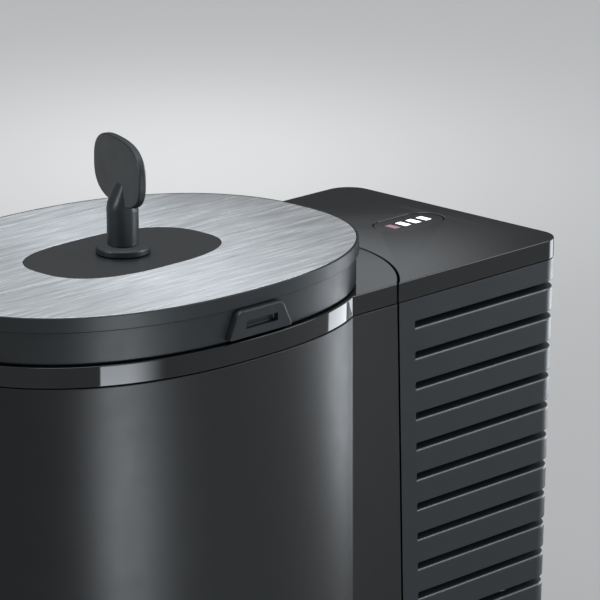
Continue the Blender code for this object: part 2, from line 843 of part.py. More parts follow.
def make_fan_bearing():
    """The bearing tube that the fan's back plate carries."""
    return ring_about_y("fan_bearing", AXLE_R + 0.00005, BEARING_R, FAN_Y + 0.0045, FAN_BACK_Y, bronze(), 20)


def make_fan_stator():
    """The motor's winding stack, fixed round the bearing tube."""
    back = FAN_BACK_Y - FAN_BACK_T - GAP
    return ring_about_y("fan_stator", BEARING_R + GAP, STATOR_R, FAN_Y + 0.0055, back, copper())


def make_fan_axle():
    """A steel pin pressed into the rotor, running in the bearing."""
    front, back = (0, FAN_Y + 0.0038, CHAIN_Z), (0, FAN_BACK_Y - 0.0005, CHAIN_Z)
    return shade(rod("fan_axle", AXLE_R, front, back, "Y", steel(), steps=20))


def make_fan_impeller():
    """A cup-shaped hub over the stator, with swept blades."""
    front, back = FAN_Y + 0.001, FAN_BACK_Y - FAN_BACK_T - 0.0007
    middle = (front + back) / 2
    half = (back - front) / 2
    bore = FAN_HUB_R - 0.0015
    floor = half - 0.0022
    cup = turned("impeller_cup", [
        (0, half), (FAN_HUB_R - 0.001, half), (FAN_HUB_R, half - 0.001), (FAN_HUB_R, -half),
        (bore, -half), (bore, floor), (0, floor),
    ], steps=40)
    place(cup, 0, middle, CHAIN_Z, "X", math.pi / 2)
    pieces = [bake(cup, "impeller_hub", black_plastic())]
    for i in range(BLADE_COUNT):
        blade = box(f"blade_{i}", (-BLADE_T / 2, -BLADE_CHORD / 2, FAN_HUB_R - 0.0007),
                    (BLADE_T / 2, BLADE_CHORD / 2, FAN_TIP_R))
        blade.data.transform(Matrix.Rotation(BLADE_TWIST, 4, "Z"))
        spin = Matrix.Rotation(2 * math.pi * i / BLADE_COUNT, 4, "Y")
        blade.data.transform(Matrix.Translation((0, middle, CHAIN_Z)) @ spin)
        pieces.append(blade)
    return shade(join("fan_impeller", pieces, black_plastic()))


def make_fan_screws():
    tip = -FAN_T - GAP - 0.0001
    profile = [
        (0, FAN_SCREW_HEAD_T), (FAN_SCREW_HEAD_R, FAN_SCREW_HEAD_T), (FAN_SCREW_HEAD_R, 0),
        (SCREW_R, 0), (SCREW_R, tip), (0, tip),
    ]
    for i, (x, z) in enumerate(fan_corners(), 1):
        screw = turned(f"fan_screw_{i}", profile, steel(), steps=14)
        place(screw, x, FAN_BACK_Y + GAP, z, "X", -math.pi / 2)


# ---------------------------------------------------------------- electronics

def bar_y(index):
    return BAR_FIRST_Y + BAR_PITCH * index


def make_indicator():
    half_x, half_y = BAR_SIZE[0] / 2 + GAP, BAR_SIZE[1] / 2 + GAP
    slots = []
    for i in range(BAR_COUNT):
        low, high = bar_y(i) - half_y, bar_y(i) + half_y
        slots.append([(-half_x, low), (half_x, low), (half_x, high), (-half_x, high)])
    plate("indicator_window", [pill_plan(-GAP)] + slots, FRAME_LOW_Z, TOP_Z - PILL_DEPTH, gloss_black())
    half_x, half_y = BAR_SIZE[0] / 2, BAR_SIZE[1] / 2
    for i in range(BAR_COUNT):
        finish = light_red() if i == 0 else light_white()
        low = (-half_x, bar_y(i) - half_y, BAR_LOW_Z)
        high = (half_x, bar_y(i) + half_y, TOP_Z - PILL_DEPTH + 0.0001)
        box(f"light_bar_{i + 1}", low, high, finish)


def make_control_board():
    """Board under the rear cover, with its larger parts and the row of LEDs under the bars."""
    top = BOARD_LOW_Z + BOARD_T
    board = box("board_sheet", (-0.036, 0.078, BOARD_LOW_Z), (0.036, 0.1135, top))
    parts = (
        ("driver", (-0.030, 0.082), (-0.020, 0.092), 0.0024),
        ("relay", (0.018, 0.083), (0.030, 0.090), 0.0039),
        ("coil", (-0.030, 0.098), (-0.022, 0.110), 0.0054),
        ("leds", (-0.004, 0.090), (0.004, 0.1095), 0.0008),
    )
    pieces = [board]
    for name, low, high, height in parts:
        pieces.append(box(name, (*low, top - 0.0006), (*high, top + height)))
    return join("control_board", pieces, board_green())


def make_service_panel():
    low = (-PANEL_HALF_X, PANEL_FACE_Y - PANEL_T, PANEL_LOW_Z)
    high = (PANEL_HALF_X, PANEL_FACE_Y, PANEL_HIGH_Z)
    panel = box("service_panel", low, high, grey_plastic())
    front, back = PANEL_FACE_Y - 0.02, PANEL_FACE_Y + 0.02
    half_x, half_z = (half + GAP for half in SWITCH_HALF)
    switch = cutter_box("switch_hole", (SWITCH_X - half_x, front, SERVICE_Z - half_z),
                        (SWITCH_X + half_x, back, SERVICE_Z + half_z))
    inlet = cutter_rod("inlet_hole", INLET_R + GAP, (INLET_X, front, SERVICE_Z),
                       (INLET_X, back, SERVICE_Z), "Y", 32)
    return cut(panel, switch, inlet)


def make_switch_bezel():
    """Flange and tube of the rocker switch, closed at the back."""
    face = PANEL_FACE_Y + GAP
    half_x, half_z = SWITCH_HALF
    wide_x, wide_z = half_x + BEZEL_LAP, half_z + BEZEL_LAP
    flange = box("bezel_flange", (SWITCH_X - wide_x, face, SERVICE_Z - wide_z),
                 (SWITCH_X + wide_x, face + BEZEL_T, SERVICE_Z + wide_z))
    tube = box("bezel_tube", (SWITCH_X - half_x, face - BEZEL_DEPTH, SERVICE_Z - half_z),
               (SWITCH_X + half_x, face + BEZEL_T / 2, SERVICE_Z + half_z))
    bezel = join("switch_bezel", [flange, tube], black_plastic())
    bore_x, bore_z = half_x - BEZEL_WALL_T, half_z - BEZEL_WALL_T
    floor = face - BEZEL_DEPTH + BEZEL_WALL_T
    well = cutter_box("bezel_well", (SWITCH_X - bore_x, floor, SERVICE_Z - bore_z),
                      (SWITCH_X + bore_x, face + 0.01, SERVICE_Z + bore_z))
    return cut(bezel, well)


def rocker_section():
    """Rocker's side view as (outward, up) points from its pivot."""
    return [(0.0044, 0.0081), (0.0028, 0.0), (0.0044, -0.0081), (-0.0005, -0.0072), (-0.0030, -0.0030),
            (-0.0030, 0.0030), (-0.0005, 0.0072)]


def make_rocker():
    rings = []
    for x in (-ROCKER_HALF_X, ROCKER_HALF_X):
        rings.append([(x, outward, up) for outward, up in rocker_section()])
    rocker = loft("power_rocker", rings, False, black_plastic())
    return place(rocker, SWITCH_X, PANEL_FACE_Y - ROCKER_PIVOT_IN, SERVICE_Z, "X", ROCKER_REST)


def make_power_inlet():
    """Round low-voltage socket, open at its face and closed by a floor, with a centre pin."""
    face = PANEL_FACE_Y + GAP
    end = -INLET_DEPTH
    socket = turned("power_inlet", [
        (0, end + INLET_FLOOR_T), (INLET_BORE_R, end + INLET_FLOOR_T), (INLET_BORE_R, INLET_RIM_T),
        (INLET_RIM_R - INLET_EDGE, INLET_RIM_T), (INLET_RIM_R, INLET_RIM_T - INLET_EDGE), (INLET_RIM_R, 0),
        (INLET_R, 0), (INLET_R, end), (0, end),
    ], black_plastic())
    place(socket, INLET_X, face, SERVICE_Z, "X", -math.pi / 2)
    pin_end = end + INLET_FLOOR_T + INLET_EDGE
    pin = turned("power_inlet_pin", [
        (0, 0), (INLET_PIN_R * 0.7, 0), (INLET_PIN_R, -INLET_EDGE), (INLET_PIN_R, pin_end), (0, pin_end),
    ], steel(), steps=16)
    place(pin, INLET_X, face, SERVICE_Z, "X", -math.pi / 2)


def wire(name, points, radius, finish):
    """A short internal lead through hand-placed points."""
    curve = bpy.data.curves.new(name, "CURVE")
    curve.dimensions = "3D"
    curve.bevel_depth = radius
    curve.bevel_resolution = 2
    curve.use_fill_caps = True
    spline = curve.splines.new("POLY")
    spline.points.add(len(points) - 1)
    for point, place_at in zip(spline.points, points):
        point.co = (*place_at, 1)
    item = bpy.data.objects.new(name, curve)
    bpy.data.collections[MODEL].objects.link(item)
    curve.materials.append(finish)
    return item


def make_leads():
    """Supply lead up the right rear corner and the fan's lead, both to the control board."""
    x, y = 0.0438, 0.0945
    wire("power_lead", [
        (INLET_X, 0.1060, SERVICE_Z), (INLET_X + 0.004, 0.1030, SERVICE_Z + 0.002), (0.026, 0.1000, 0.034),
        (0.036, 0.0960, 0.042), (x, y, 0.054), (x, y, 0.075), (x, y, 0.110), (x, y, 0.150), (x, y, 0.168),
        (0.0405, y, 0.1755), (0.035, y, 0.1800), (0.0300, y, 0.1822),
    ], 0.0010, rubber())
    wire("fan_lead", [
        (-0.0300, 0.1145, 0.1560), (-0.0315, 0.1148, 0.162), (-0.0330, 0.1130, 0.170),
        (-0.0320, 0.1080, 0.178), (-0.0300, 0.1050, 0.1826),
    ], 0.0007, rubber())


# ---------------------------------------------------------------- container

def make_container():
    outer, inner = CUP_OFFSET, CUP_OFFSET - CUP_T
    low, high = CUP_LOW_Z, CUP_RIM_Z
    profile = [
        (outer - 0.007, low), (outer - 0.0025, low + 0.0014), (outer, low + 0.007),
        (outer, high - 0.0007), (outer + 0.0045, high - 0.0007), (outer + 0.0045, high),
        (inner, high), (inner, low + 0.0075), (inner - 0.0025, low + 0.0023),
        (inner - 0.0065, low + 0.001),
    ]
    return lid_loft("milk_container", profile, False, steel())


def collar_profile():
    ledge = CUP_RIM_Z - 0.001
    return [
        (CUP_OFFSET + GAP, COLLAR_FOOT_Z), (-0.0060, COLLAR_FOOT_Z), (-0.0060, COLLAR_LOW_Z),
        (-0.0018, COLLAR_LOW_Z), (-0.0005, COLLAR_LOW_Z + 0.0007), (0.0, COLLAR_LOW_Z + 0.0022),
        (0.0, COLLAR_TOP_Z - 0.0003), (-0.0003, COLLAR_TOP_Z), (-0.0140, COLLAR_TOP_Z),
        (-0.0140, ledge), (CUP_OFFSET + GAP, ledge),
    ]


def make_lug(sign):
    """A tapered grip on the collar's side, with a slot through its face."""
    rings = []
    inside = LID_HALF_X - 0.004
    outside = LID_HALF_X + LUG_OUT
    shape = (
        (inside, LUG_HALF_LOW + 0.0004, LUG_HALF_HIGH + 0.0004),
        (outside - 0.0008, LUG_HALF_LOW, LUG_HALF_HIGH),
        (outside, LUG_HALF_LOW - 0.0022, LUG_HALF_HIGH - 0.0016),
    )
    for x, half_low, half_high in shape:
        shoulder, top = LUG_HIGH_Z - 0.0022, LUG_HIGH_Z - 0.0004
        wide, narrow = half_high + 0.0012, half_high - 0.0008
        outline = [
            (-half_low, LUG_LOW_Z), (half_low, LUG_LOW_Z), (wide, shoulder), (narrow, top), (-narrow, top),
            (-wide, shoulder),
        ]
        rings.append([(sign * x, LID_Y + y, z) for y, z in outline])
    return loft(f"lug_{sign}", rings, False)


def lug_slot(sign):
    x = sorted((sign * (LID_HALF_X - 0.0004), sign * (LID_HALF_X + 0.01)))
    low = (x[0], LID_Y - LUG_SLOT[0] / 2, LUG_SLOT_Z - LUG_SLOT[1] / 2)
    high = (x[1], LID_Y + LUG_SLOT[0] / 2, LUG_SLOT_Z + LUG_SLOT[1] / 2)
    return cutter_box(f"lug_slot_{sign}", low, high)


def make_collar():
    ring = lid_loft("collar_ring", collar_profile(), True, grey_plastic())
    collar = join("container_collar", [ring, make_lug(-1), make_lug(1)], grey_plastic())
    roof = []
    for sign in (-1, 1):
        x = sorted((sign * (LID_HALF_X - 0.01), sign * (LID_HALF_X + 0.02)))
        low = (x[0], LID_Y - 0.03, COLLAR_TOP_Z)
        high = (x[1], LID_Y + 0.03, COLLAR_TOP_Z + 0.01)
        roof.append(cutter_box(f"lug_roof_{sign}", low, high))
    return shade(cut(collar, lug_slot(-1), lug_slot(1), *roof))


# ---------------------------------------------------------------- lid

def make_lid_frame():
    """Tray that carries the steel plate inside a thin raised lip."""
    floor = LID_TOP_Z - PLATE_T - GAP
    profile = [
        (LID_CORE, LID_LOW_Z), (LIP_W, LID_LOW_Z), (LIP_W + GAP, LID_LOW_Z + 0.0004),
        (LIP_W + GAP, LID_TOP_Z - 0.0003), (LIP_W, LID_TOP_Z), (GAP, LID_TOP_Z - 0.0001), (GAP, floor),
        (LID_CORE, floor),
    ]
    tray = lid_loft("lid_frame", profile, False, grey_plastic())
    return shade(cut(tray, port_cutter("frame_port", PORT_HOLE_R)))


def port_cutter(name, radius):
    return cutter_rod(name, radius, (0, LID_Y, 0.19), (0, LID_Y, 0.23), steps=32)


def make_lid_plate():
    loops = [lid_plan(0), inlay_plan(GAP / 2)]
    return shade(plate("lid_plate", loops, LID_TOP_Z - PLATE_T, LID_TOP_Z, brushed_steel()))


def make_lid_inlay():
    loops = [inlay_plan(-GAP / 2), circle_plan(PORT_HOLE_R)]
    return shade(plate("lid_inlay", loops, LID_TOP_Z - PLATE_T, LID_TOP_Z - 0.0001, grey_plastic()))


def make_lid_liner():
    """Hollow plug under the lid that reaches into the container's mouth."""
    top = LID_LOW_Z - GAP
    under = top - LINER_FLOOR_T
    inner = LINER_OFFSET - LINER_T
    profile = [
        (LID_CORE, top), (LINER_OFFSET, top), (LINER_OFFSET, LINER_LOW_Z), (inner, LINER_LOW_Z),
        (inner, under), (LID_CORE, under),
    ]
    liner = lid_loft("lid_liner", profile, False, black_plastic())
    low, high = (0, LID_Y, top - RING_SEAT_DEPTH), (0, LID_Y, top + 0.01)
    seat = cutter_rod("ring_seat", RING_SEAT_R, low, high, steps=32)
    return shade(cut(liner, port_cutter("liner_port", PORT_HOLE_R), seat))


def make_lid_seal():
    """Lipped silicone ring between the lid's plug and the container."""
    inner, outer = LINER_OFFSET + GAP, CUP_OFFSET - CUP_T - GAP
    top = LID_LOW_Z - 0.0014
    profile = [
        (inner, top), (outer - 0.0006, top), (outer, top - 0.0010), (outer - 0.0006, top - 0.0022),
        (inner, top - 0.0034),
    ]
    return lid_loft("lid_seal", profile, True, silicone())


def make_port_swivel():
    top = LID_TOP_Z + FLANGE_T + 0.0002
    under = LID_TOP_Z + 0.0002
    profile = [
        (PORT_BORE_R, top), (FLANGE_R - 0.0005, top), (FLANGE_R, top - 0.0005), (FLANGE_R, under + 0.0002),
        (FLANGE_R - 0.0002, under), (SLEEVE_R, under), (SLEEVE_R, SLEEVE_LOW_Z), (TUBE_BORE_R, SLEEVE_LOW_Z),
        (TUBE_BORE_R, SLEEVE_LOW_Z + 0.004), (PORT_BORE_R, SLEEVE_LOW_Z + 0.0048),
    ]
    return place(turned("port_swivel", profile, grey_plastic(), 32, closed=True), 0, LID_Y)


def torus(name, major, minor, x, y, z, finish, steps=32):
    rings = []
    for turn in turn_angles(steps):
        ring = []
        for angle in turn_angles(8):
            reach = major + minor * math.cos(angle)
            ring.append((reach * math.cos(turn), reach * math.sin(turn), minor * math.sin(angle)))
        rings.append(ring)
    item = loft(name, rings, True, finish)
    return place(shade(item, 60), x, y, z)


def make_port_rings():
    torus("port_ring", 0.0069, 0.00075, 0, LID_Y, LID_LOW_Z - GAP - 0.0009, silicone())
    torus("stopper_ring", 0.0035, 0.00045, 0, LID_Y, GROOVE_Z, silicone(), 24)


def make_milk_tube():
    top = SLEEVE_LOW_Z - GAP
    profile = [(TUBE_BORE_R, top), (TUBE_R, top), (TUBE_R, TUBE_LOW_Z), (TUBE_BORE_R, TUBE_LOW_Z)]
    return place(turned("milk_tube", profile, silicone(), 20, closed=True), 0, LID_Y)


def stopper_stem():
    """Plug, ring groove and stem, turned about the stopper's axis."""
    foot = LID_TOP_Z + FLANGE_T + 0.0002 + GAP
    top = LID_TOP_Z + STEM_TOP
    groove_r = PLUG_R - GROOVE_DEPTH
    groove_low, groove_high = GROOVE_Z - GROOVE_HALF, GROOVE_Z + GROOVE_HALF
    return turned("stopper_stem", [
        (0, top), (STEM_R - 0.0008, top), (STEM_R, top - 0.0008), (STEM_R, foot), (PLUG_R, foot),
        (PLUG_R, groove_high), (groove_r, groove_high), (groove_r, groove_low), (PLUG_R, groove_low),
        (PLUG_R, PLUG_LOW_Z + 0.0005), (PLUG_R - 0.0005, PLUG_LOW_Z), (0, PLUG_LOW_Z),
    ])


def stopper_web():
    """Tapers from the round stem into the paddle's front face."""
    rings = []
    base = LID_TOP_Z + STEM_TOP - 0.0012
    stations = (
        (0.0, STEM_R, STEM_R, STEM_R), (0.004, STEM_R * 0.86, STEM_R * 0.8, STEM_R * 0.5),
        (0.0085, STEM_R * 0.7, 0.0016, 0.0012),
    )
    for lift, half_w, front, back in stations:
        ring = []
        for angle in turn_angles(24):
            depth = front if math.sin(angle) < 0 else back
            ring.append((half_w * math.cos(angle), depth * math.sin(angle), base + lift))
        rings.append(ring)
    return loft("stopper_web", rings, False)


def paddle_ring(shrink, y):
    half_w, half_h = PADDLE_HALF_W - shrink, PADDLE_HALF_H - shrink
    outline = superellipse(half_w, half_h, PADDLE_POWER, PADDLE_Z, turn_angles(44))
    return [(PADDLE_X + x, y, z) for x, z in outline]


def stopper_paddle():
    edge = 0.0006
    half = PADDLE_T / 2
    stations = ((edge, -half), (0, -half + edge), (0, half - edge), (edge, half))
    return loft("stopper_paddle", [paddle_ring(shrink, y) for shrink, y in stations], False)


def make_stopper():
    pieces = [bake(stopper_stem(), "stopper_turned", grey_plastic()), stopper_web(), stopper_paddle()]
    stopper = join("stopper", pieces, grey_plastic())
    stopper.data.transform(Matrix.Rotation(PADDLE_TURN, 4, "Z"))
    return shade(place(stopper, 0, LID_Y))


# ---------------------------------------------------------------- assembly

def make_all():
    clear_scene()
    make_front_housing()
    make_front_top_frame()
    make_rear_housing()
    make_rear_top_cover()
    make_base_plate()
    make_feet()
    make_base_screws()
    make_foam()
    make_cooling_well()
    make_cold_block()
    make_temperature_sensor()
    make_peltier()
    make_heat_sink()
    make_fan_frame()
    make_fan_bearing()
    make_fan_stator()
    make_fan_axle()
    make_fan_impeller()
    make_fan_screws()
    make_indicator()
    make_control_board()
    make_service_panel()
    make_switch_bezel()
    make_rocker()
    make_power_inlet()
    make_leads()
    make_container()
    make_collar()
    make_lid_frame()
    make_lid_plate()
    make_lid_inlay()
    make_lid_liner()
    make_lid_seal()
    make_port_swivel()
    make_port_rings()
    make_milk_tube()
    make_stopper()


make_all()
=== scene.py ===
"""Looks of the bench-top milk cooler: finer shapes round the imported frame, materials, light and camera."""

import json
import math

import bmesh
import bpy
from mathutils import Matrix, Vector


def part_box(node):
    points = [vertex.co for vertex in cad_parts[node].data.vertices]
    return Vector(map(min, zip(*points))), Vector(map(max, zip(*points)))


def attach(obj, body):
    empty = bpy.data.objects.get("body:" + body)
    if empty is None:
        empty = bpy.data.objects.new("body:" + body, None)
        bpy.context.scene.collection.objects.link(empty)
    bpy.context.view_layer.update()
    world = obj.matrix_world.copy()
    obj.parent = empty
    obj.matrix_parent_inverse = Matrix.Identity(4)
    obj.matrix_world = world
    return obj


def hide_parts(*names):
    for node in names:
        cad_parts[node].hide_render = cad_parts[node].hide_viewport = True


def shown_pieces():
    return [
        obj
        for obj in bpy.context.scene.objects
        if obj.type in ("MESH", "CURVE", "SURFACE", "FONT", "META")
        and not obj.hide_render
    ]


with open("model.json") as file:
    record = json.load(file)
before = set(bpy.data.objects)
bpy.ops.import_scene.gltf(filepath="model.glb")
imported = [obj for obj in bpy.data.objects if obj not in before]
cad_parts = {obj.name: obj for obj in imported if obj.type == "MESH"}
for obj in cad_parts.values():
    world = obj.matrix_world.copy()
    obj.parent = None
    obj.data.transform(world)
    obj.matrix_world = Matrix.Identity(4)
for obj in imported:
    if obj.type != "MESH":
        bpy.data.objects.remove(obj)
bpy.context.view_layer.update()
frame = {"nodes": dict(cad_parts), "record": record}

MM = 0.001
GAP = 0.3 * MM

# Heights, read from the frame
TOP_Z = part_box("front_top_frame")[1].z
BAND_LOW_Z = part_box("front_top_frame")[0].z
WALL_LOW_Z, WALL_TOP_Z = (corner.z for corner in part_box("front_housing"))
LID_TOP_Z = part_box("lid_plate")[1].z
LID_LOW_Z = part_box("lid_frame")[0].z
PLATE_LOW_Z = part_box("lid_plate")[0].z
COLLAR_TOP_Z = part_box("container_collar")[1].z
CUP_LOW_Z, CUP_RIM_Z = (corner.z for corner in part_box("milk_container"))
WELL_LOW_Z, WELL_TOP_Z = (corner.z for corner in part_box("cooling_well"))

# Plan of the lid, a superellipse, and the skin outside it
PLATE_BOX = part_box("lid_plate")
LID_Y = (PLATE_BOX[0].y + PLATE_BOX[1].y) / 2
LID_HALF_X = PLATE_BOX[1].x
LID_HALF_Y = (PLATE_BOX[1].y - PLATE_BOX[0].y) / 2
LID_POWER = 2.32
SKIN_OUT = 1.4 * MM
INLAY_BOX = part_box("lid_inlay")
INLAY_HALF_X = INLAY_BOX[1].x + GAP / 2
INLAY_HALF_Y = (INLAY_BOX[1].y - INLAY_BOX[0].y) / 2 + GAP / 2
INLAY_POWER = 2.63
LID_STEPS = 224
INLAY_STEPS = 144
HOLE_STEPS = 72

# Plan of the rear block
SIDE_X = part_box("rear_top_cover")[1].x
BACK_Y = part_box("rear_top_cover")[1].y
CORNER_R = 9.7 * MM
SEAM_R = 67.3 * MM
SEAM_GAP = 0.6 * MM
SEAM_Y = -3.6 * MM
SIDE_DRAFT = 0.0088
BACK_DRAFT = 0.0148
SEAM_DRAFT = 0.028
FRONT_STEPS = 200
SEAM_STEPS = 40
CORNER_STEPS = 14

# Walls and louvres
SKIN_T = 2 * MM
REAR_WALL_T = 6 * MM
LOUVRE_COUNT = 16
LOUVRE_PITCH = 11 * MM
LOUVRE_H = 2.7 * MM
LOUVRE_DEPTH = 4 * MM
LOUVRE_FIRST_Z = TOP_Z - 17.7 * MM
LOUVRE_START = 7.9 * MM
LOUVRE_ROUND = 0.9 * MM
LOUVRE_SLOPE = 0.9 * MM
WALL_EDGE = 0.3 * MM
COVER_EDGE = 0.35 * MM

# Hollows behind the walls, which the louvres open into, and openings for the cooling chain and panel
VENT_WALL_T = 3.2 * MM
VENT_Z = (46 * MM, 178 * MM)
VENT_BACK_X = 34 * MM
VENT_BACK_Y = 112 * MM
VENT_SIDE_X = 44 * MM
VENT_SIDE_Y = (80 * MM, 108 * MM)
WINDOW_HALF = 22.5 * MM
WINDOW_Y = (50 * MM, 70.5 * MM)
CHAIN_Z = 115 * MM
PANEL_CUT_Y = (105 * MM, 130 * MM)

# Port and stopper
FLANGE_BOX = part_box("port_swivel")
FLANGE_TOP_Z = FLANGE_BOX[1].z
FLANGE_R = FLANGE_BOX[1].x

# Edges that turn by more degrees than this are drawn sharp
SHARP_DEG = 32


# ---------------------------------------------------------------- camera and lights

CAMERA_AT = (0.9114, -0.8860, 0.5568)
CAMERA_YAW = 0.77475
CAMERA_PITCH = 0.27920
CAMERA_LENS_MM = 233.87
CAMERA_SENSOR_MM = 36.0


def make_camera():
    camera = bpy.data.cameras.new("camera")
    camera.lens = CAMERA_LENS_MM
    camera.sensor_width = CAMERA_SENSOR_MM
    camera.clip_start = 0.01
    camera.clip_end = 50
    item = bpy.data.objects.new("camera", camera)
    item.location = CAMERA_AT
    item.rotation_euler = (math.pi / 2 - CAMERA_PITCH, 0, CAMERA_YAW)
    bpy.context.scene.collection.objects.link(item)
    bpy.context.scene.camera = item


LIGHT_TINT = (0.94, 1.0, 1.06)
NO_FADE = 0.001


def area_light(name, at, towards, size, power, only=None, fade=(0.0, 0.0, 0.0, 0.0), along=None):
    """A rectangular soft light. Fade gives the shares of its width and height, at its left, right,
    bottom and top, over which it dims to nothing. With only, it lights that collection alone. Its width
    lies in the direction along, or else level."""
    light = bpy.data.lights.new(name, "AREA")
    light.shape = "RECTANGLE"
    light.size, light.size_y = size
    light.energy = power
    light.color = LIGHT_TINT
    if any(fade):
        light.use_nodes = True
        tree = light.node_tree
        spot = node(tree, "SeparateXYZ", Vector=node(tree, "NewGeometry").outputs["Parametric"])
        shares = []
        for axis, (first, last) in (("X", fade[:2]), ("Y", fade[2:])):
            place = spot.outputs[axis]
            shares.append(smooth(tree, place, 0, max(first, NO_FADE)))
            shares.append(smooth(tree, place, 1, 1 - max(last, NO_FADE)))
        strength = shares[0]
        for share in shares[1:]:
            strength = math_node(tree, "MULTIPLY", strength, share)
        tree.links.new(strength, tree.nodes["Emission"].inputs["Strength"])
    item = bpy.data.objects.new(name, light)
    item.location = at
    back = (Vector(at) - Vector(towards)).normalized()
    level = Vector((0, 0, 1)).cross(back)
    across = Vector(along) if along else level
    across = (across - across.dot(back) * back).normalized()
    item.rotation_euler = Matrix((across, back.cross(across), back)).transposed().to_euler()
    item.visible_camera = False
    bpy.context.scene.collection.objects.link(item)
    if only:
        item.light_linking.receiver_collection = only
    return item


# ---------------------------------------------------------------- shader nodes

def node(tree, kind, settings=None, **inputs):
    """Adds a shader node. An input is a value or another node's socket, and _ in its name is a space."""
    made = tree.nodes.new("ShaderNode" + kind)
    for key, value in (settings or {}).items():
        setattr(made, key, value)
    for key, value in inputs.items():
        socket = made.inputs[key.replace("_", " ")]
        if isinstance(value, bpy.types.NodeSocket):
            tree.links.new(value, socket)
        else:
            socket.default_value = value
    return made


def noise(tree, scale, stretch=(1, 1, 1), detail=3.0, rough=0.5):
    """Noise in the piece's own metres: scale is features per metre."""
    place = node(tree, "TexCoord").outputs["Object"]
    mapped = node(tree, "Mapping", Vector=place, Scale=stretch).outputs["Vector"]
    made = node(tree, "TexNoise", Vector=mapped, Scale=scale, Detail=detail, Roughness=rough)
    return made.outputs["Fac"]


def math_node(tree, operation, first, second):
    made = tree.nodes.new("ShaderNodeMath")
    made.operation = operation
    for socket, value in zip(made.inputs, (first, second)):
        if isinstance(value, bpy.types.NodeSocket):
            tree.links.new(value, socket)
        else:
            socket.default_value = value
    return made.outputs[0]


def smooth(tree, value, start, end, low=0.0, high=1.0):
    """Goes softly from low to high as value goes from start to end."""
    made = node(tree, "MapRange", {"interpolation_type": "SMOOTHSTEP"}, Value=value,
                From_Min=start, From_Max=end, To_Min=low, To_Max=high)
    return made.outputs["Result"]


def spread(tree, value, low, high, start=0.3, end=0.7):
    """Goes evenly from low to high as value goes from start to end."""
    made = node(tree, "MapRange", Value=value, From_Min=start, From_Max=end, To_Min=low, To_Max=high)
    return made.outputs["Result"]


def mix(tree, factor, first, second):
    made = tree.nodes.new("ShaderNodeMix")
    made.data_type = "RGBA"
    for socket, value in zip((made.inputs[0], made.inputs[6], made.inputs[7]), (factor, first, second)):
        if isinstance(value, bpy.types.NodeSocket):
            tree.links.new(value, socket)
        else:
            socket.default_value = value if isinstance(value, float) else (*value, 1)
    return made.outputs[2]


def bump(tree, height, distance):
    return node(tree, "Bump", Height=height, Distance=distance).outputs["Normal"]


def new_finish(name):
    finish = bpy.data.materials.new(name)
    finish.use_nodes = True
    tree = finish.node_tree
    return finish, tree, tree.nodes["Principled BSDF"]


def surface(name, dark, light, rough, metallic=0.0, patch=60, grain=2500, grain_depth=0.00001,
            stretch=(1, 1, 1), specular=0.5):
    """Moulded or machined surface: slow colour drift, roughness drift and a fine grain. Patch and grain
    are features per metre, and grain_depth is in metres."""
    finish, tree, shader = new_finish(name)
    drift = noise(tree, patch, stretch, 4)
    fine = noise(tree, grain, stretch, 2)
    tree.links.new(mix(tree, spread(tree, drift, 0.0, 1.0), dark, light), shader.inputs["Base Color"])
    wear = noise(tree, patch * 2.3, stretch, 5)
    tree.links.new(spread(tree, wear, rough[0], rough[1]), shader.inputs["Roughness"])
    tree.links.new(bump(tree, fine, grain_depth), shader.inputs["Normal"])
    shader.inputs["Metallic"].default_value = metallic
    shader.inputs["Specular IOR Level"].default_value = specular
    return finish


# How far the brushing turns aside, per metre across X
BRUSH_TWIST = -2.3
BRUSH_WANDER = 0.02


def make_brushed_steel():
    """Steel brushed along Y: soft streaks, and fine scratches between them, that spread light across X."""
    finish, tree, shader = new_finish("brushed_steel")
    streak = noise(tree, 42, (15, 1, 15), 4, 0.6)
    hair = noise(tree, 150, (18, 1, 18), 2, 0.6)
    tone = mix(tree, spread(tree, streak, 0.0, 1.0, 0.3, 0.7), (0.57, 0.59, 0.605), (0.77, 0.785, 0.795))
    fine = mix(tree, spread(tree, hair, 0.0, 1.0, 0.25, 0.75), (0.86, 0.86, 0.86), (1.0, 1.0, 1.0))
    both = node(tree, "VectorMath", {"operation": "MULTIPLY"})
    tree.links.new(tone, both.inputs[0])
    tree.links.new(fine, both.inputs[1])
    tree.links.new(both.outputs[0], shader.inputs["Base Color"])
    tree.links.new(spread(tree, streak, 0.23, 0.28), shader.inputs["Roughness"])
    across = node(tree, "SeparateXYZ", Vector=node(tree, "TexCoord").outputs["Object"]).outputs["X"]
    twist = math_node(tree, "MULTIPLY", across, BRUSH_TWIST)
    wander = spread(tree, noise(tree, 25), -BRUSH_WANDER, BRUSH_WANDER)
    aside = math_node(tree, "ADD", twist, wander)
    tree.links.new(node(tree, "CombineXYZ", X=1.0, Y=aside, Z=0.0).outputs[0], shader.inputs["Tangent"])
    tree.links.new(bump(tree, streak, 0.0000025), shader.inputs["Normal"])
    shader.inputs["Metallic"].default_value = 1.0
    shader.inputs["Anisotropic"].default_value = 0.97
    return finish


def make_glow(name, colour, strength):
    """Lit diffuser with a faint speckle."""
    finish, tree, shader = new_finish(name)
    speck = noise(tree, 900, detail=2)
    tree.links.new(mix(tree, spread(tree, speck, 0.0, 1.0), [c * 0.9 for c in colour], colour),
                   shader.inputs["Base Color"])
    shader.inputs["Emission Color"].default_value = (*colour, 1)
    shader.inputs["Emission Strength"].default_value = strength
    shader.inputs["Roughness"].default_value = 0.3
    return finish


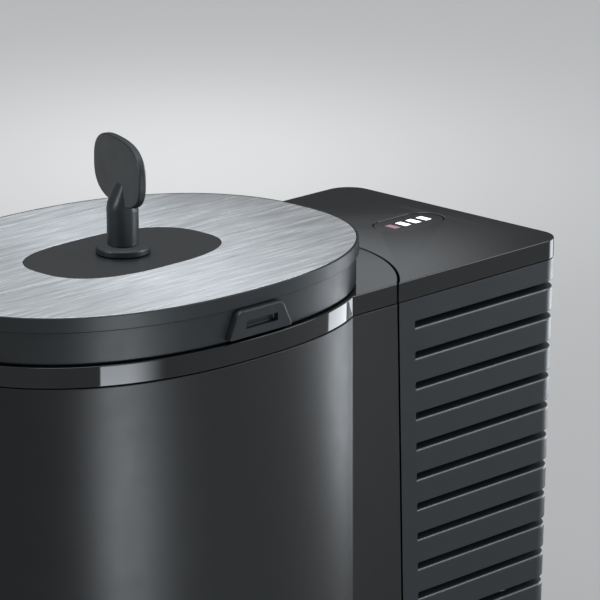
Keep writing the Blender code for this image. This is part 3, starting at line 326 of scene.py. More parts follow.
def make_board():
    """Green circuit board with tracks."""
    finish, tree, shader = new_finish("board_green")
    place = node(tree, "TexCoord").outputs["Object"]
    tracks = node(tree, "TexBrick", Vector=place, Scale=220.0, Mortar_Size=0.06)
    tracks.inputs["Color1"].default_value = (0.01, 0.10, 0.04, 1)
    tracks.inputs["Color2"].default_value = (0.012, 0.12, 0.05, 1)
    tracks.inputs["Mortar"].default_value = (0.03, 0.24, 0.09, 1)
    tree.links.new(tracks.outputs["Color"], shader.inputs["Base Color"])
    tree.links.new(spread(tree, noise(tree, 300), 0.3, 0.5), shader.inputs["Roughness"])
    return finish


def make_finishes():
    """One material for each material slot of the record."""
    return {
        "grey_plastic": surface("grey_plastic", (0.0105, 0.0132, 0.0150), (0.013, 0.0157, 0.0178),
                                (0.38, 0.44), grain=5200, grain_depth=0.000004, specular=0.40),
        "satin_metal": surface("satin_metal", (0.0038, 0.0050, 0.0057), (0.0048, 0.0062, 0.0070),
                               (0.36, 0.40), grain=6500, grain_depth=0.000003, specular=0.40),
        "gloss_black": surface("gloss_black", (0.0045, 0.005, 0.0055), (0.006, 0.0065, 0.007),
                               (0.03, 0.06), grain=900, grain_depth=0.0000015),
        "black_plastic": surface("black_plastic", (0.012, 0.013, 0.014), (0.018, 0.019, 0.02),
                                 (0.45, 0.6)),
        "brushed_steel": make_brushed_steel(),
        "steel": surface("steel", (0.50, 0.51, 0.52), (0.62, 0.63, 0.64), (0.16, 0.26),
                         metallic=1.0, patch=40, grain=1800, grain_depth=0.000005),
        "aluminium": surface("aluminium", (0.55, 0.56, 0.58), (0.68, 0.69, 0.70), (0.3, 0.45),
                             metallic=1.0, patch=50, grain=1500, grain_depth=0.00001),
        "silicone": surface("silicone", (0.06, 0.06, 0.065), (0.085, 0.085, 0.09), (0.5, 0.65)),
        "rubber": surface("rubber", (0.012, 0.012, 0.012), (0.02, 0.02, 0.02), (0.75, 0.9),
                          grain=1800, grain_depth=0.00003),
        "foam": surface("foam", (0.62, 0.60, 0.52), (0.74, 0.72, 0.64), (0.85, 0.95),
                        grain=700, grain_depth=0.0002),
        "ceramic": surface("ceramic", (0.72, 0.72, 0.69), (0.82, 0.82, 0.80), (0.4, 0.55)),
        "board_green": make_board(),
        "bronze": surface("bronze", (0.42, 0.27, 0.12), (0.52, 0.35, 0.17), (0.35, 0.5), metallic=1.0),
        "copper": surface("copper", (0.50, 0.21, 0.09), (0.62, 0.28, 0.13), (0.3, 0.45),
                          metallic=1.0, patch=200, grain=2600, grain_depth=0.00005, stretch=(1, 6, 1)),
        "light_white": make_glow("light_white", (0.95, 0.97, 1.0), 1.8),
        "light_red": make_glow("light_red", (0.36, 0.19, 0.22), 0.28),
    }


# ---------------------------------------------------------------- plans and meshes

def superellipse(half_x, half_y, power, centre_y, angles):
    points = []
    for angle in angles:
        c, s = math.cos(angle), math.sin(angle)
        x = half_x * math.copysign(abs(c) ** (2 / power), c)
        y = half_y * math.copysign(abs(s) ** (2 / power), s)
        points.append((x, centre_y + y))
    return points


def turn_angles(count):
    return [2 * math.pi * i / count for i in range(count)]


def lid_plan(offset):
    return superellipse(LID_HALF_X + offset, LID_HALF_Y + offset, LID_POWER, LID_Y, turn_angles(LID_STEPS))


def inlay_plan(offset):
    angles = turn_angles(INLAY_STEPS)
    return superellipse(INLAY_HALF_X + offset, INLAY_HALF_Y + offset, INLAY_POWER, LID_Y, angles)


def port_plan(radius):
    return [(radius * math.cos(a), LID_Y + radius * math.sin(a)) for a in turn_angles(HOLE_STEPS)]


def side_at(z):
    return SIDE_X - SIDE_DRAFT * (TOP_Z - z)


def back_at(z):
    return BACK_Y - BACK_DRAFT * (TOP_Z - z)


def seam_centre_at(z):
    return SEAM_Y + SEAM_DRAFT * (TOP_Z - z)


def seam_arc(radius, side, z):
    """Points along the seam's arc, from the left side to the right one."""
    half = math.asin(side / radius)
    angles = [-half + 2 * half * i / SEAM_STEPS for i in range(SEAM_STEPS + 1)]
    return [(radius * math.sin(a), seam_centre_at(z) + radius * math.cos(a)) for a in angles]


def front_plan(offset, z):
    """Front module: from the right crease round the front to the left one, then along the seam."""
    half_x = LID_HALF_X + SKIN_OUT + offset
    half_y = LID_HALF_Y + SKIN_OUT + offset
    crease = math.acos(((side_at(z) + offset) / half_x) ** (LID_POWER / 2))
    sweep = math.pi + 2 * crease
    angles = [crease - sweep * i / FRONT_STEPS for i in range(FRONT_STEPS + 1)]
    front = superellipse(half_x, half_y, LID_POWER, LID_Y, angles)
    return front + seam_arc(SEAM_R - SEAM_GAP / 2 + offset, side_at(z) + offset, z)


def back_corner(sign, offset, z):
    """Points round one rear corner, in anticlockwise order."""
    radius = CORNER_R + offset
    x = sign * (side_at(z) + offset - radius)
    y = back_at(z) + offset - radius
    start = 0 if sign > 0 else math.pi / 2
    angles = [start + math.pi / 2 * i / CORNER_STEPS for i in range(CORNER_STEPS + 1)]
    return [(x + radius * math.cos(a), y + radius * math.sin(a)) for a in angles]


def seam_start(z, offset=0.0, radius=SEAM_R + SEAM_GAP / 2):
    """Y at which the rear block's side meets the seam."""
    side = side_at(z) + offset
    return seam_centre_at(z) + math.sqrt(radius**2 - side**2)


def rounded(corners, steps=5):
    """A polyline of (a, b, radius) corners with each corner turned into an arc of that radius."""
    points = []
    last = len(corners) - 1
    for i, (a, b, radius) in enumerate(corners):
        here = Vector((a, b))
        if radius <= 0 or i in (0, last):
            points.append((a, b))
            continue
        before = (Vector(corners[i - 1][:2]) - here).normalized()
        after = (Vector(corners[i + 1][:2]) - here).normalized()
        half = before.angle(after) / 2
        if abs(half - math.pi / 2) < 0.01:
            points.append((a, b))
            continue
        reach = radius / math.tan(half)
        centre = here + (before + after).normalized() * radius / math.sin(half)
        first, final = here + before * reach - centre, here + after * reach - centre
        sweep = first.angle_signed(final)
        for k in range(steps + 1):
            turned = first.copy()
            turned.rotate(Matrix.Rotation(-sweep * k / steps, 2))
            points.append(tuple(centre + turned))
    return points


def add_mesh(name, mesh, angle=SHARP_DEG):
    bmesh.ops.recalc_face_normals(mesh, faces=mesh.faces)
    data = bpy.data.meshes.new(name)
    mesh.to_mesh(data)
    mesh.free()
    data.shade_smooth()
    data.set_sharp_from_angle(angle=math.radians(angle))
    item = bpy.data.objects.new(name, data)
    bpy.context.scene.collection.objects.link(item)
    return item


def loft(name, rings, closed, angle=SHARP_DEG):
    """Joins rings of equal length: a tube wall if closed, or else capped at both ends."""
    mesh = bmesh.new()
    rows = [[mesh.verts.new(point) for point in ring] for ring in rings]
    pairs = list(zip(rows, rows[1:]))
    if closed:
        pairs.append((rows[-1], rows[0]))
    for lower, upper in pairs:
        for i in range(len(lower)):
            j = (i + 1) % len(lower)
            mesh.faces.new((lower[i], lower[j], upper[j], upper[i]))
    if not closed:
        mesh.faces.new(rows[0])
        mesh.faces.new(list(reversed(rows[-1])))
    return add_mesh(name, mesh, angle)


def at_height(points, z):
    return [(x, y, z) for x, y in points]


def lid_loft(name, corners, closed):
    """Takes rounded (offset, height) corners round the lid's plan."""
    return loft(name, [at_height(lid_plan(offset), z) for offset, z in rounded(corners)], closed)


def turned(name, corners, steps=96, x=0.0, y=LID_Y):
    """Turns rounded (radius, height) corners about the vertical axis at x and y."""
    profile = rounded(corners)
    mesh = bmesh.new()
    points = [mesh.verts.new((radius, 0, height)) for radius, height in profile]
    for pair in zip(points, points[1:]):
        mesh.edges.new(pair)
    bmesh.ops.spin(mesh, geom=mesh.verts[:] + mesh.edges[:], cent=(0, 0, 0), axis=(0, 0, 1),
                   angle=2 * math.pi, steps=steps)
    bmesh.ops.remove_doubles(mesh, verts=mesh.verts, dist=1e-6)
    bmesh.ops.transform(mesh, matrix=Matrix.Translation((x, y, 0)), verts=mesh.verts)
    return add_mesh(name, mesh)


def plate(name, loops, low_z, high_z, edge):
    """A flat plate with rounded edges. The first loop is its outline and the rest are holes."""
    curve = bpy.data.curves.new(name, "CURVE")
    curve.dimensions = "2D"
    curve.fill_mode = "BOTH"
    curve.extrude = (high_z - low_z) / 2 - edge
    curve.bevel_depth = edge
    curve.bevel_resolution = 2
    curve.offset = -edge
    for loop in loops:
        spline = curve.splines.new("POLY")
        spline.points.add(len(loop) - 1)
        for point, (x, y) in zip(spline.points, loop):
            point.co = (x, y, 0, 1)
        spline.use_cyclic_u = True
    guide = bpy.data.objects.new(name + "_guide", curve)
    bpy.context.scene.collection.objects.link(guide)
    bpy.context.view_layer.update()
    flat = bpy.data.meshes.new_from_object(guide.evaluated_get(bpy.context.evaluated_depsgraph_get()))
    mesh = bmesh.new()
    mesh.from_mesh(flat)
    bmesh.ops.remove_doubles(mesh, verts=mesh.verts, dist=2e-6)
    bmesh.ops.translate(mesh, vec=(0, 0, (low_z + high_z) / 2), verts=mesh.verts)
    bpy.data.objects.remove(guide)
    bpy.data.curves.remove(curve)
    bpy.data.meshes.remove(flat)
    return add_mesh(name, mesh)


def box(name, low, high):
    mesh = bmesh.new()
    bmesh.ops.create_cube(mesh, size=1)
    bmesh.ops.scale(mesh, vec=Vector(high) - Vector(low), verts=mesh.verts)
    bmesh.ops.translate(mesh, vec=(Vector(high) + Vector(low)) / 2, verts=mesh.verts)
    return add_mesh(name, mesh)


def combine(item, others, operation):
    """Applies Booleans and removes the other objects."""
    for other in others:
        modifier = item.modifiers.new(other.name, "BOOLEAN")
        modifier.operation = operation
        modifier.solver = "EXACT"
        modifier.object = other
    apply_modifiers(item)
    for other in others:
        bpy.data.objects.remove(other)
    return item


def apply_modifiers(item):
    bpy.context.view_layer.update()
    data = bpy.data.meshes.new_from_object(item.evaluated_get(bpy.context.evaluated_depsgraph_get()))
    item.modifiers.clear()
    item.data = data
    data.shade_smooth()
    data.set_sharp_from_angle(angle=math.radians(SHARP_DEG))
    return item


def dress(item, body, slot, *nodes):
    """Puts a piece on its body, in place of CAD nodes, with its slot's finish."""
    item.data.materials.clear()
    item.data.materials.append(finishes[slot])
    normals = item.modifiers.new("normals", "WEIGHTED_NORMAL")
    normals.keep_sharp = True
    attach(item, body)
    if nodes:
        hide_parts(*nodes)
    return item


# ---------------------------------------------------------------- body

def make_chain_window():
    """Cutter for the opening between the two housings, which the cooling chain passes through."""
    return box("window", (-WINDOW_HALF, WINDOW_Y[0], CHAIN_Z - WINDOW_HALF),
               (WINDOW_HALF, WINDOW_Y[1], CHAIN_Z + WINDOW_HALF))


def make_front_skin():
    middle = (WALL_LOW_Z + WALL_TOP_Z) / 2
    corners = [
        (0, middle, 0), (0, WALL_TOP_Z, WALL_EDGE), (-SKIN_T, WALL_TOP_Z, WALL_EDGE),
        (-SKIN_T, WALL_LOW_Z, WALL_EDGE), (0, WALL_LOW_Z, WALL_EDGE), (0, middle - MM, 0),
    ]
    rings = [at_height(front_plan(offset, z), z) for offset, z in rounded(corners, 4)]
    skin = loft("front_skin", rings, True, 20)
    combine(skin, [make_chain_window()], "DIFFERENCE")
    dress(skin, "housing", "satin_metal", "front_housing")


def louvre_rows():
    """(height, offset, plain height, plain offset) for each row of the louvred wall, from the top down.
    The plain pair is where the row lies beside the louvres, spread evenly over the mouth."""
    ends = ((-WALL_EDGE, 0.0), (-0.3 * WALL_EDGE, 0.3 * WALL_EDGE), (0.0, WALL_EDGE))
    rows = [(WALL_TOP_Z - drop, offset, WALL_TOP_Z - drop, offset) for offset, drop in ends]
    for index in range(LOUVRE_COUNT):
        low = LOUVRE_FIRST_Z - LOUVRE_PITCH * index
        high = low + LOUVRE_H
        section = rounded([
            (0, high + 0.4 * MM, 0), (0, high, 0.2 * MM), (-LOUVRE_DEPTH, high, 0.3 * MM),
            (-LOUVRE_DEPTH, low + LOUVRE_SLOPE, 0.5 * MM), (0, low, LOUVRE_ROUND), (0, low - MM, 0),
        ], 4)
        top, bottom = section[0][1], section[-1][1]
        for i, (offset, z) in enumerate(section):
            share = i / (len(section) - 1)
            rows.append((z, offset, top + (bottom - top) * share, 0.0))
    rows += [(WALL_LOW_Z + rise, offset, WALL_LOW_Z + rise, offset) for offset, rise in reversed(ends)]
    return rows


def rear_ring(z, offset, plain_z, plain_offset, arc_offset=0.0):
    """One closed ring round the rear block. Only the columns past the louvres' start lie at z and offset;
    the ones beside the seam, and the seam's arc, lie at the plain height."""
    radius = SEAM_R + SEAM_GAP / 2 - arc_offset
    flat_side = side_at(plain_z) + plain_offset
    start = seam_start(plain_z, plain_offset, radius)
    deep_side = side_at(z) + offset
    mouth = seam_start(z) + LOUVRE_START
    corner_y = back_at(z) - CORNER_R
    flat_end = max(mouth - 0.25 * MM, start + MM)
    deep_start = max(mouth, start + 2 * MM)
    right = [(flat_side, y, plain_z) for y in (start, start + 0.35 * MM, flat_end - 0.3 * MM, flat_end)]
    right += [(deep_side, y, z) for y in (deep_start, (deep_start + corner_y) / 2)]
    left = [(-x, y, height) for x, y, height in reversed(right)]
    corners = at_height(back_corner(1, offset, z) + back_corner(-1, offset, z), z)
    arc = seam_arc(radius, flat_side, plain_z)[1:-1]
    return right + corners + left + at_height(arc, plain_z)


def make_rear_shell():
    rings = [rear_ring(*row) for row in louvre_rows()]
    for z in (WALL_LOW_Z, WALL_TOP_Z):
        rings.append(rear_ring(z, -REAR_WALL_T, z, -REAR_WALL_T, -SKIN_T))
    shell = loft("rear_shell", rings, True, 24)
    panel_low, panel_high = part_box("service_panel")
    side = side_at(VENT_Z[0]) - VENT_WALL_T
    cuts = [
        make_chain_window(),
        box("vent_back", (-VENT_BACK_X, VENT_BACK_Y, VENT_Z[0]),
            (VENT_BACK_X, back_at(VENT_Z[0]) - VENT_WALL_T, VENT_Z[1])),
        box("vent_right", (VENT_SIDE_X, VENT_SIDE_Y[0], VENT_Z[0]), (side, VENT_SIDE_Y[1], VENT_Z[1])),
        box("vent_left", (-side, VENT_SIDE_Y[0], VENT_Z[0]), (-VENT_SIDE_X, VENT_SIDE_Y[1], VENT_Z[1])),
        box("panel_opening", (panel_low.x - GAP, PANEL_CUT_Y[0], panel_low.z - GAP),
            (panel_high.x + GAP, PANEL_CUT_Y[1], panel_high.z + GAP)),
    ]
    dress(combine(shell, cuts, "DIFFERENCE"), "housing", "grey_plastic", "rear_housing")


SHELF_OFFSET = -18 * MM


def make_top_covers():
    """The gloss band and shelf round the container, and the rear block's cover."""
    loops = [front_plan(0, TOP_Z), lid_plan(SHELF_OFFSET)]
    front = plate("front_band", loops, BAND_LOW_Z, TOP_Z, COVER_EDGE)
    dress(front, "housing", "gloss_black", "front_top_frame")
    back = back_corner(1, 0, TOP_Z) + back_corner(-1, 0, TOP_Z)
    arc = seam_arc(SEAM_R + SEAM_GAP / 2, side_at(TOP_Z), TOP_Z)
    rear = plate("rear_cover", [back + arc, pill_plan(0)], BAND_LOW_Z, TOP_Z, COVER_EDGE)
    dress(rear, "housing", "gloss_black", "rear_top_cover")


INDICATOR_COUNT = 4
INDICATOR_SINK = 0.25 * MM
BAR_HALF_SHARE = (0.33, 0.43)
BAR_GAP = 0.05 * MM
PILL_END_STEPS = 24


def pill_plan(offset):
    """The indicator's outline, a straight strip with round ends."""
    low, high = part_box("indicator_window")
    half_w = high.x + GAP + offset
    straight = (high.y - low.y) / 2 - high.x
    middle = (high.y + low.y) / 2
    points = []
    for end, start in ((1, 0), (-1, math.pi)):
        for i in range(PILL_END_STEPS + 1):
            angle = start + math.pi * i / PILL_END_STEPS
            points.append((half_w * math.cos(angle), middle + end * straight + half_w * math.sin(angle)))
    return points


def make_indicator():
    """Window set just under the cover's face, with four lit bars level with it. The first bar is red."""
    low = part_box("indicator_window")[0]
    top = TOP_Z - INDICATOR_SINK
    holes = []
    for i in range(1, INDICATOR_COUNT + 1):
        bar_low, bar_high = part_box(f"light_bar_{i}")
        middle = (bar_low + bar_high) / 2
        half_x = (bar_high.x - bar_low.x) * BAR_HALF_SHARE[0]
        half_y = (bar_high.y - bar_low.y) * BAR_HALF_SHARE[1]
        bar = box(f"bar_{i}", (middle.x - half_x, middle.y - half_y, bar_low.z),
                  (middle.x + half_x, middle.y + half_y, top))
        dress(bar, "housing", "light_red" if i == 1 else "light_white", f"light_bar_{i}")
        x, y = half_x + BAR_GAP, half_y + BAR_GAP
        holes.append([(middle.x + a * x, middle.y + b * y) for a, b in ((-1, -1), (1, -1), (1, 1), (-1, 1))])
    window = plate("pill_window", [pill_plan(-GAP)] + holes, low.z, top, 0.03 * MM)
    dress(window, "housing", "gloss_black", "indicator_window")


FOOT_COUNT = 4
FOOT_RING_W = 2.2 * MM
FOOT_SLOPE_W = 0.4 * MM
FOOT_HOLLOW = 0.25 * MM


def make_feet():
    """Round rubber feet, each with a shallow hollow underneath."""
    for i in range(1, FOOT_COUNT + 1):
        low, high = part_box(f"foot_{i}")
        radius = (high.x - low.x) / 2
        corners = [
            (0, high.z, 0), (radius, high.z, 0.2 * MM), (radius, 0, 0.7 * MM),
            (radius - FOOT_RING_W, 0, 0.1 * MM),
            (radius - FOOT_RING_W - FOOT_SLOPE_W, FOOT_HOLLOW, 0.1 * MM), (0, FOOT_HOLLOW, 0),
        ]
        foot = turned(f"foot_pad_{i}", corners, 64, (low.x + high.x) / 2, (low.y + high.y) / 2)
        dress(foot, "housing", "rubber", f"foot_{i}")


# ---------------------------------------------------------------- container

CUP_OFFSET = -19 * MM
CUP_T = 1 * MM
CUP_FLANGE_W = 4.5 * MM
CUP_FLANGE_T = 0.7 * MM
WELL_OUTER = -16.8 * MM
WELL_T = 1.5 * MM
WELL_FLANGE_W = 6 * MM
WELL_FLANGE_T = 1.3 * MM
FLOOR_W = 30 * MM
COLLAR_FOOT_Z = TOP_Z + GAP
COLLAR_SLIT = 0.12 * MM
COLLAR_SKIRT_W = 6 * MM
COLLAR_TOP_W = 14 * MM
LUG_HALF_LOW = 14.3 * MM
LUG_HALF_HIGH = 10.2 * MM
LUG_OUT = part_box("container_collar")[1].x - LID_HALF_X
LUG_SLOT = (14.4 * MM, 2.7 * MM)
LUG_SLOT_Z = 206.6 * MM


def make_cup():
    outer, inner = CUP_OFFSET, CUP_OFFSET - CUP_T
    lip, under, floor = outer + CUP_FLANGE_W, CUP_RIM_Z - CUP_FLANGE_T, CUP_LOW_Z + CUP_T
    corners = [
        (outer - FLOOR_W, CUP_LOW_Z, 0), (outer, CUP_LOW_Z, 7 * MM), (outer, under, 0.4 * MM),
        (lip, under, 0.25 * MM), (lip, CUP_RIM_Z, 0.3 * MM), (inner, CUP_RIM_Z, 0.6 * MM),
        (inner, floor, 6 * MM), (inner - FLOOR_W, floor, 0),
    ]
    dress(lid_loft("steel_cup", corners, False), "container", "steel", "milk_container")


def make_well():
    outer, inner = WELL_OUTER, WELL_OUTER - WELL_T
    lip, under, floor = outer + WELL_FLANGE_W, WELL_TOP_Z - WELL_FLANGE_T, WELL_LOW_Z + WELL_T
    corners = [
        (outer - FLOOR_W, WELL_LOW_Z, 0), (outer, WELL_LOW_Z, 7 * MM), (outer, under, 0.5 * MM),
        (lip, under, 0.3 * MM), (lip, WELL_TOP_Z, 0.3 * MM), (inner, WELL_TOP_Z, 0.8 * MM),
        (inner, floor, 6.5 * MM), (inner - FLOOR_W, floor, 0),
    ]
    dress(lid_loft("well_liner", corners, False), "housing", "aluminium", "cooling_well")


def make_collar():
    """Ring that carries the cup and stands on the shelf. Thin slits part it from the shelf and the lid."""
    low = TOP_Z + COLLAR_SLIT
    top = LID_LOW_Z - COLLAR_SLIT
    ledge = CUP_RIM_Z - 1 * MM
    inner = CUP_OFFSET + GAP
    middle = (COLLAR_FOOT_Z + ledge) / 2
    corners = [
        (inner, middle, 0), (inner, COLLAR_FOOT_Z, 0.3 * MM), (-COLLAR_SKIRT_W, COLLAR_FOOT_Z, 0.3 * MM),
        (-COLLAR_SKIRT_W, low, 0.3 * MM), (0, low, 1.0 * MM), (0, top, 0.2 * MM),
        (-COLLAR_TOP_W, top, 0.2 * MM), (-COLLAR_TOP_W, ledge, 0.3 * MM), (inner, ledge, 0.3 * MM),
        (inner, middle + MM, 0),
    ]
    collar = lid_loft("collar", corners, True)
    combine(collar, [make_lug(-1), make_lug(1)], "UNION")
    combine(collar, [make_lug_slot(-1), make_lug_slot(1)], "DIFFERENCE")
    dress(collar, "container", "grey_plastic", "container_collar")


def make_lug(sign):
    """Tapered grip with rounded shoulders, standing out of the collar's side."""
    inside, outside = LID_HALF_X - 4 * MM, LID_HALF_X + LUG_OUT - 0.6 * MM
    low, high = COLLAR_FOOT_Z + 1 * MM, COLLAR_TOP_Z - 0.1 * MM
    stations = (
        (inside, 0.0), (outside - 1.1 * MM, 0.0), (outside - 0.35 * MM, 0.35 * MM), (outside, 1.0 * MM),
    )
    rings = []
    for x, shrink in stations:
        foot, head = low + shrink * 0.3, high - shrink
        outline = rounded([
            (LID_Y, foot, 0), (LID_Y + LUG_HALF_LOW - shrink, foot, 0.5 * MM),
            (LID_Y + LUG_HALF_HIGH - shrink, head, 3.2 * MM), (LID_Y, head, 0),
            (LID_Y - LUG_HALF_HIGH + shrink, head, 3.2 * MM),
            (LID_Y - LUG_HALF_LOW + shrink, foot, 0.5 * MM), (LID_Y - 0.1 * MM, foot, 0),
        ], 6)
        rings.append([(sign * x, y, z) for y, z in outline])
    return loft("lug", rings, False)


def make_lug_slot(sign):
    near, far = LID_HALF_X + 0.6 * MM, LID_HALF_X + 10 * MM
    x = sorted((sign * near, sign * far))
    slot = box("lug_slot", (x[0], LID_Y - LUG_SLOT[0] / 2, LUG_SLOT_Z - LUG_SLOT[1] / 2),
               (x[1], LID_Y + LUG_SLOT[0] / 2, LUG_SLOT_Z + LUG_SLOT[1] / 2))
    bevel = slot.modifiers.new("edges", "BEVEL")
    bevel.width = 0.4 * MM
    bevel.segments = 3
    return apply_modifiers(slot)


# ---------------------------------------------------------------- lid

LIP_W = 0.9 * MM
LIP_EDGE = 0.28 * MM
PLATE_REVEAL = 0.25 * MM
LID_BODY_W = 40 * MM
LINER_OFFSET = -22.5 * MM
PORT_HOLE_R = 6.2 * MM


def make_lid_rim():
    """The lid's dark body, with a thin lip that stands level with the steel plate."""
    floor = PLATE_LOW_Z - GAP
    corners = [
        (-LID_BODY_W, LID_LOW_Z, 0), (LIP_W, LID_LOW_Z, 0.3 * MM), (LIP_W, LID_TOP_Z, LIP_EDGE),
        (PLATE_REVEAL, LID_TOP_Z, 0.1 * MM), (PLATE_REVEAL, floor, 0.1 * MM), (-LID_BODY_W, floor, 0),
    ]
    rim = lid_loft("lid_rim", corners, False)
    above, below = floor + 5 * MM, LID_LOW_Z - 5 * MM
    profile = [(0, above, 0), (PORT_HOLE_R, above, 0), (PORT_HOLE_R, below, 0), (0, below, 0)]
    combine(rim, [turned("port_hole", profile, 64)], "DIFFERENCE")
    dress(rim, "lid", "grey_plastic", "lid_frame")


def make_lid_top():
    """The brushed plate and, a hair below its face, the dark oval inlay round the port."""
    steel = plate("steel_top", [lid_plan(0), inlay_plan(GAP / 3)], PLATE_LOW_Z, LID_TOP_Z, 0.08 * MM)
    dress(steel, "lid", "brushed_steel", "lid_plate")
    loops = [inlay_plan(-GAP / 3), port_plan(PORT_HOLE_R)]
    inlay = plate("dark_inlay", loops, PLATE_LOW_Z, LID_TOP_Z - 0.05 * MM, 0.1 * MM)
    dress(inlay, "lid", "grey_plastic", "lid_inlay")


def make_lid_seal():
    low, high = (corner.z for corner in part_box("lid_seal"))
    inner, outer = LINER_OFFSET + GAP, CUP_OFFSET - CUP_T - GAP
    middle = (low + high) / 2
    seal = lid_loft("seal_ring", [
        (inner, middle, 0), (inner, high, 0.2 * MM), (outer, high, 0.4 * MM),
        (outer - 0.5 * MM, middle + 0.3 * MM, 0.2 * MM), (outer, middle - 0.2 * MM, 0.3 * MM),
        (inner, low, 0.2 * MM), (inner, middle - 0.2 * MM, 0),
    ], True)
    dress(seal, "lid", "silicone", "lid_seal")


# ---------------------------------------------------------------- port and stopper

PORT_BORE_R = 2 * MM
PORT_SOCKET_R = 4.1 * MM
PORT_NECK_R = 5.9 * MM


def make_port():
    """Flanged neck with a socket for the stopper's plug above and a bore for the tube below."""
    top, under = FLANGE_TOP_Z, LID_TOP_Z + 0.2 * MM
    low = FLANGE_BOX[0].z
    corners = [
        (PORT_BORE_R, low + 2 * MM, 0), (PORT_BORE_R, low + 4.4 * MM, 0.3 * MM),
        (PORT_SOCKET_R, low + 4.8 * MM, 0.3 * MM), (PORT_SOCKET_R, top, 0.3 * MM),
        (FLANGE_R, top, 0.7 * MM), (FLANGE_R, under, 0.3 * MM), (PORT_NECK_R, under, 0.2 * MM),
        (PORT_NECK_R, low, 0.4 * MM), (PORT_BORE_R, low, 0.3 * MM), (PORT_BORE_R, low + 1.9 * MM, 0),
        (PORT_BORE_R, low + 2 * MM, 0),
    ]
    dress(turned("port_flange", corners), "port", "grey_plastic", "port_swivel")


STEM_R = 5.3 * MM
STEM_TOP_Z = LID_TOP_Z + 15.2 * MM
PLUG_R = 3.8 * MM
GROOVE_R = 3.0 * MM
GROOVE_LOW_Z = 212.2 * MM
GROOVE_TOP_Z = 213.4 * MM
PADDLE_HALF_W = 19.3 * MM
PADDLE_HALF_H = 11.4 * MM
PADDLE_POWER = 2.75
PADDLE_T = 2.6 * MM
PADDLE_X = -2.0 * MM
PADDLE_Z = LID_TOP_Z + 27.4 * MM
PADDLE_TURN = math.radians(-20)

# The tongue's sections: height in mm, then width, front reach and back reach as shares of STEM_R
TONGUE_SECTIONS = (
    (0.0, 1.0, 1.0, 1.0), (2.0, 0.99, 0.99, 0.92), (3.6, 0.96, 0.93, 0.6), (5.2, 0.90, 0.80, 0.42),
    (6.8, 0.81, 0.64, 0.3), (8.4, 0.71, 0.47, 0.2), (10.0, 0.61, 0.33, 0.15), (11.4, 0.51, 0.23, 0.12),
)
TONGUE_OVERLAP = 2 * MM
TONGUE_SQUARING = 1.2


def paddle_outline(shrink, y):
    half_x, half_z = PADDLE_HALF_W - shrink, PADDLE_HALF_H - shrink
    outline = superellipse(half_x, half_z, PADDLE_POWER, PADDLE_Z, turn_angles(96))
    return [(PADDLE_X + x, y, z) for x, z in outline]


def make_paddle():
    """The flat oval grip, with rounded edges."""
    half = PADDLE_T / 2
    section = rounded([(6 * MM, -half, 0), (0, -half, 0.7 * MM), (0, half, 0.7 * MM), (6 * MM, half, 0)], 5)
    return loft("paddle", [paddle_outline(shrink, y) for shrink, y in section], False)


def make_tongue():
    """Rises from the round stem and thins into the paddle's front face."""
    rings = []
    base = STEM_TOP_Z - TONGUE_OVERLAP
    height = TONGUE_SECTIONS[-1][0]
    for lift, width, front, back in TONGUE_SECTIONS:
        ring = []
        power = 2 + TONGUE_SQUARING * lift / height
        for x, y in superellipse(STEM_R * width, STEM_R, power, 0, turn_angles(48)):
            ring.append((x, y * (front if y < 0 else back), base + lift * MM))
        rings.append(ring)
    return loft("tongue", rings, False)


def make_stopper():
    """Plug with a groove for its silicone ring, stem, tongue and grip in one. It stays out of
    reflections, because the photo's steel plate shows none of it."""
    foot = FLANGE_TOP_Z + GAP
    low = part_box("stopper")[0].z
    stem = turned("stopper_grip", [
        (0, STEM_TOP_Z, 0), (STEM_R, STEM_TOP_Z, 0.8 * MM), (STEM_R, foot, 0.4 * MM),
        (PLUG_R, foot, 0.2 * MM), (PLUG_R, GROOVE_TOP_Z, 0.1 * MM), (GROOVE_R, GROOVE_TOP_Z, 0.1 * MM),
        (GROOVE_R, GROOVE_LOW_Z, 0.1 * MM), (PLUG_R, GROOVE_LOW_Z, 0.1 * MM), (PLUG_R, low, 0.5 * MM),
        (0, low, 0),
    ], 72, 0, 0)
    combine(stem, [make_tongue(), make_paddle()], "UNION")
    stem.data.transform(Matrix.Translation((0, LID_Y, 0)) @ Matrix.Rotation(PADDLE_TURN, 4, "Z"))
    dress(stem, "stopper_body", "grey_plastic", "stopper")
    stem.visible_glossy = False


# ---------------------------------------------------------------- what stays as the frame has it

NODE_EDGE = 0.12 * MM


def finish_frame_nodes():
    """Gives each CAD node that still shows its slot's finish, smooth shading and softened edges."""
    slots = {entry["node"]: entry["material_slot"] for entry in frame["record"]["subparts"]}
    for name, item in frame["nodes"].items():
        if item.hide_render:
            continue
        item.data.materials.clear()
        item.data.materials.append(finishes[slots[name]])
        for face in item.data.polygons:
            face.use_smooth = True
        weld = item.modifiers.new("weld", "WELD")
        weld.merge_threshold = 1e-6
        bevel = item.modifiers.new("edges", "BEVEL")
        bevel.width = NODE_EDGE
        bevel.segments = 2
        bevel.limit_method = "ANGLE"
        bevel.angle_limit = math.radians(40)
        bevel.harden_normals = True


# ---------------------------------------------------------------- stage and light

WORLD_LOW = 0.105
WORLD_HIGH = 1.0
WORLD_RISE = (0.2, 0.8)
FLOOR_HALF = 20
FLOOR_T = 0.02


def make_world():
    """A dim room with a broad soft ceiling."""
    world = bpy.data.worlds.new("studio")
    world.use_nodes = True
    tree = world.node_tree
    height = node(tree, "SeparateXYZ", Vector=node(tree, "TexCoord").outputs["Generated"]).outputs["Z"]
    background = tree.nodes["Background"]
    background.inputs["Color"].default_value = (0.97, 0.985, 1.0, 1)
    strength = smooth(tree, height, *WORLD_RISE, WORLD_LOW, WORLD_HIGH)
    tree.links.new(strength, background.inputs["Strength"])
    bpy.context.scene.world = world


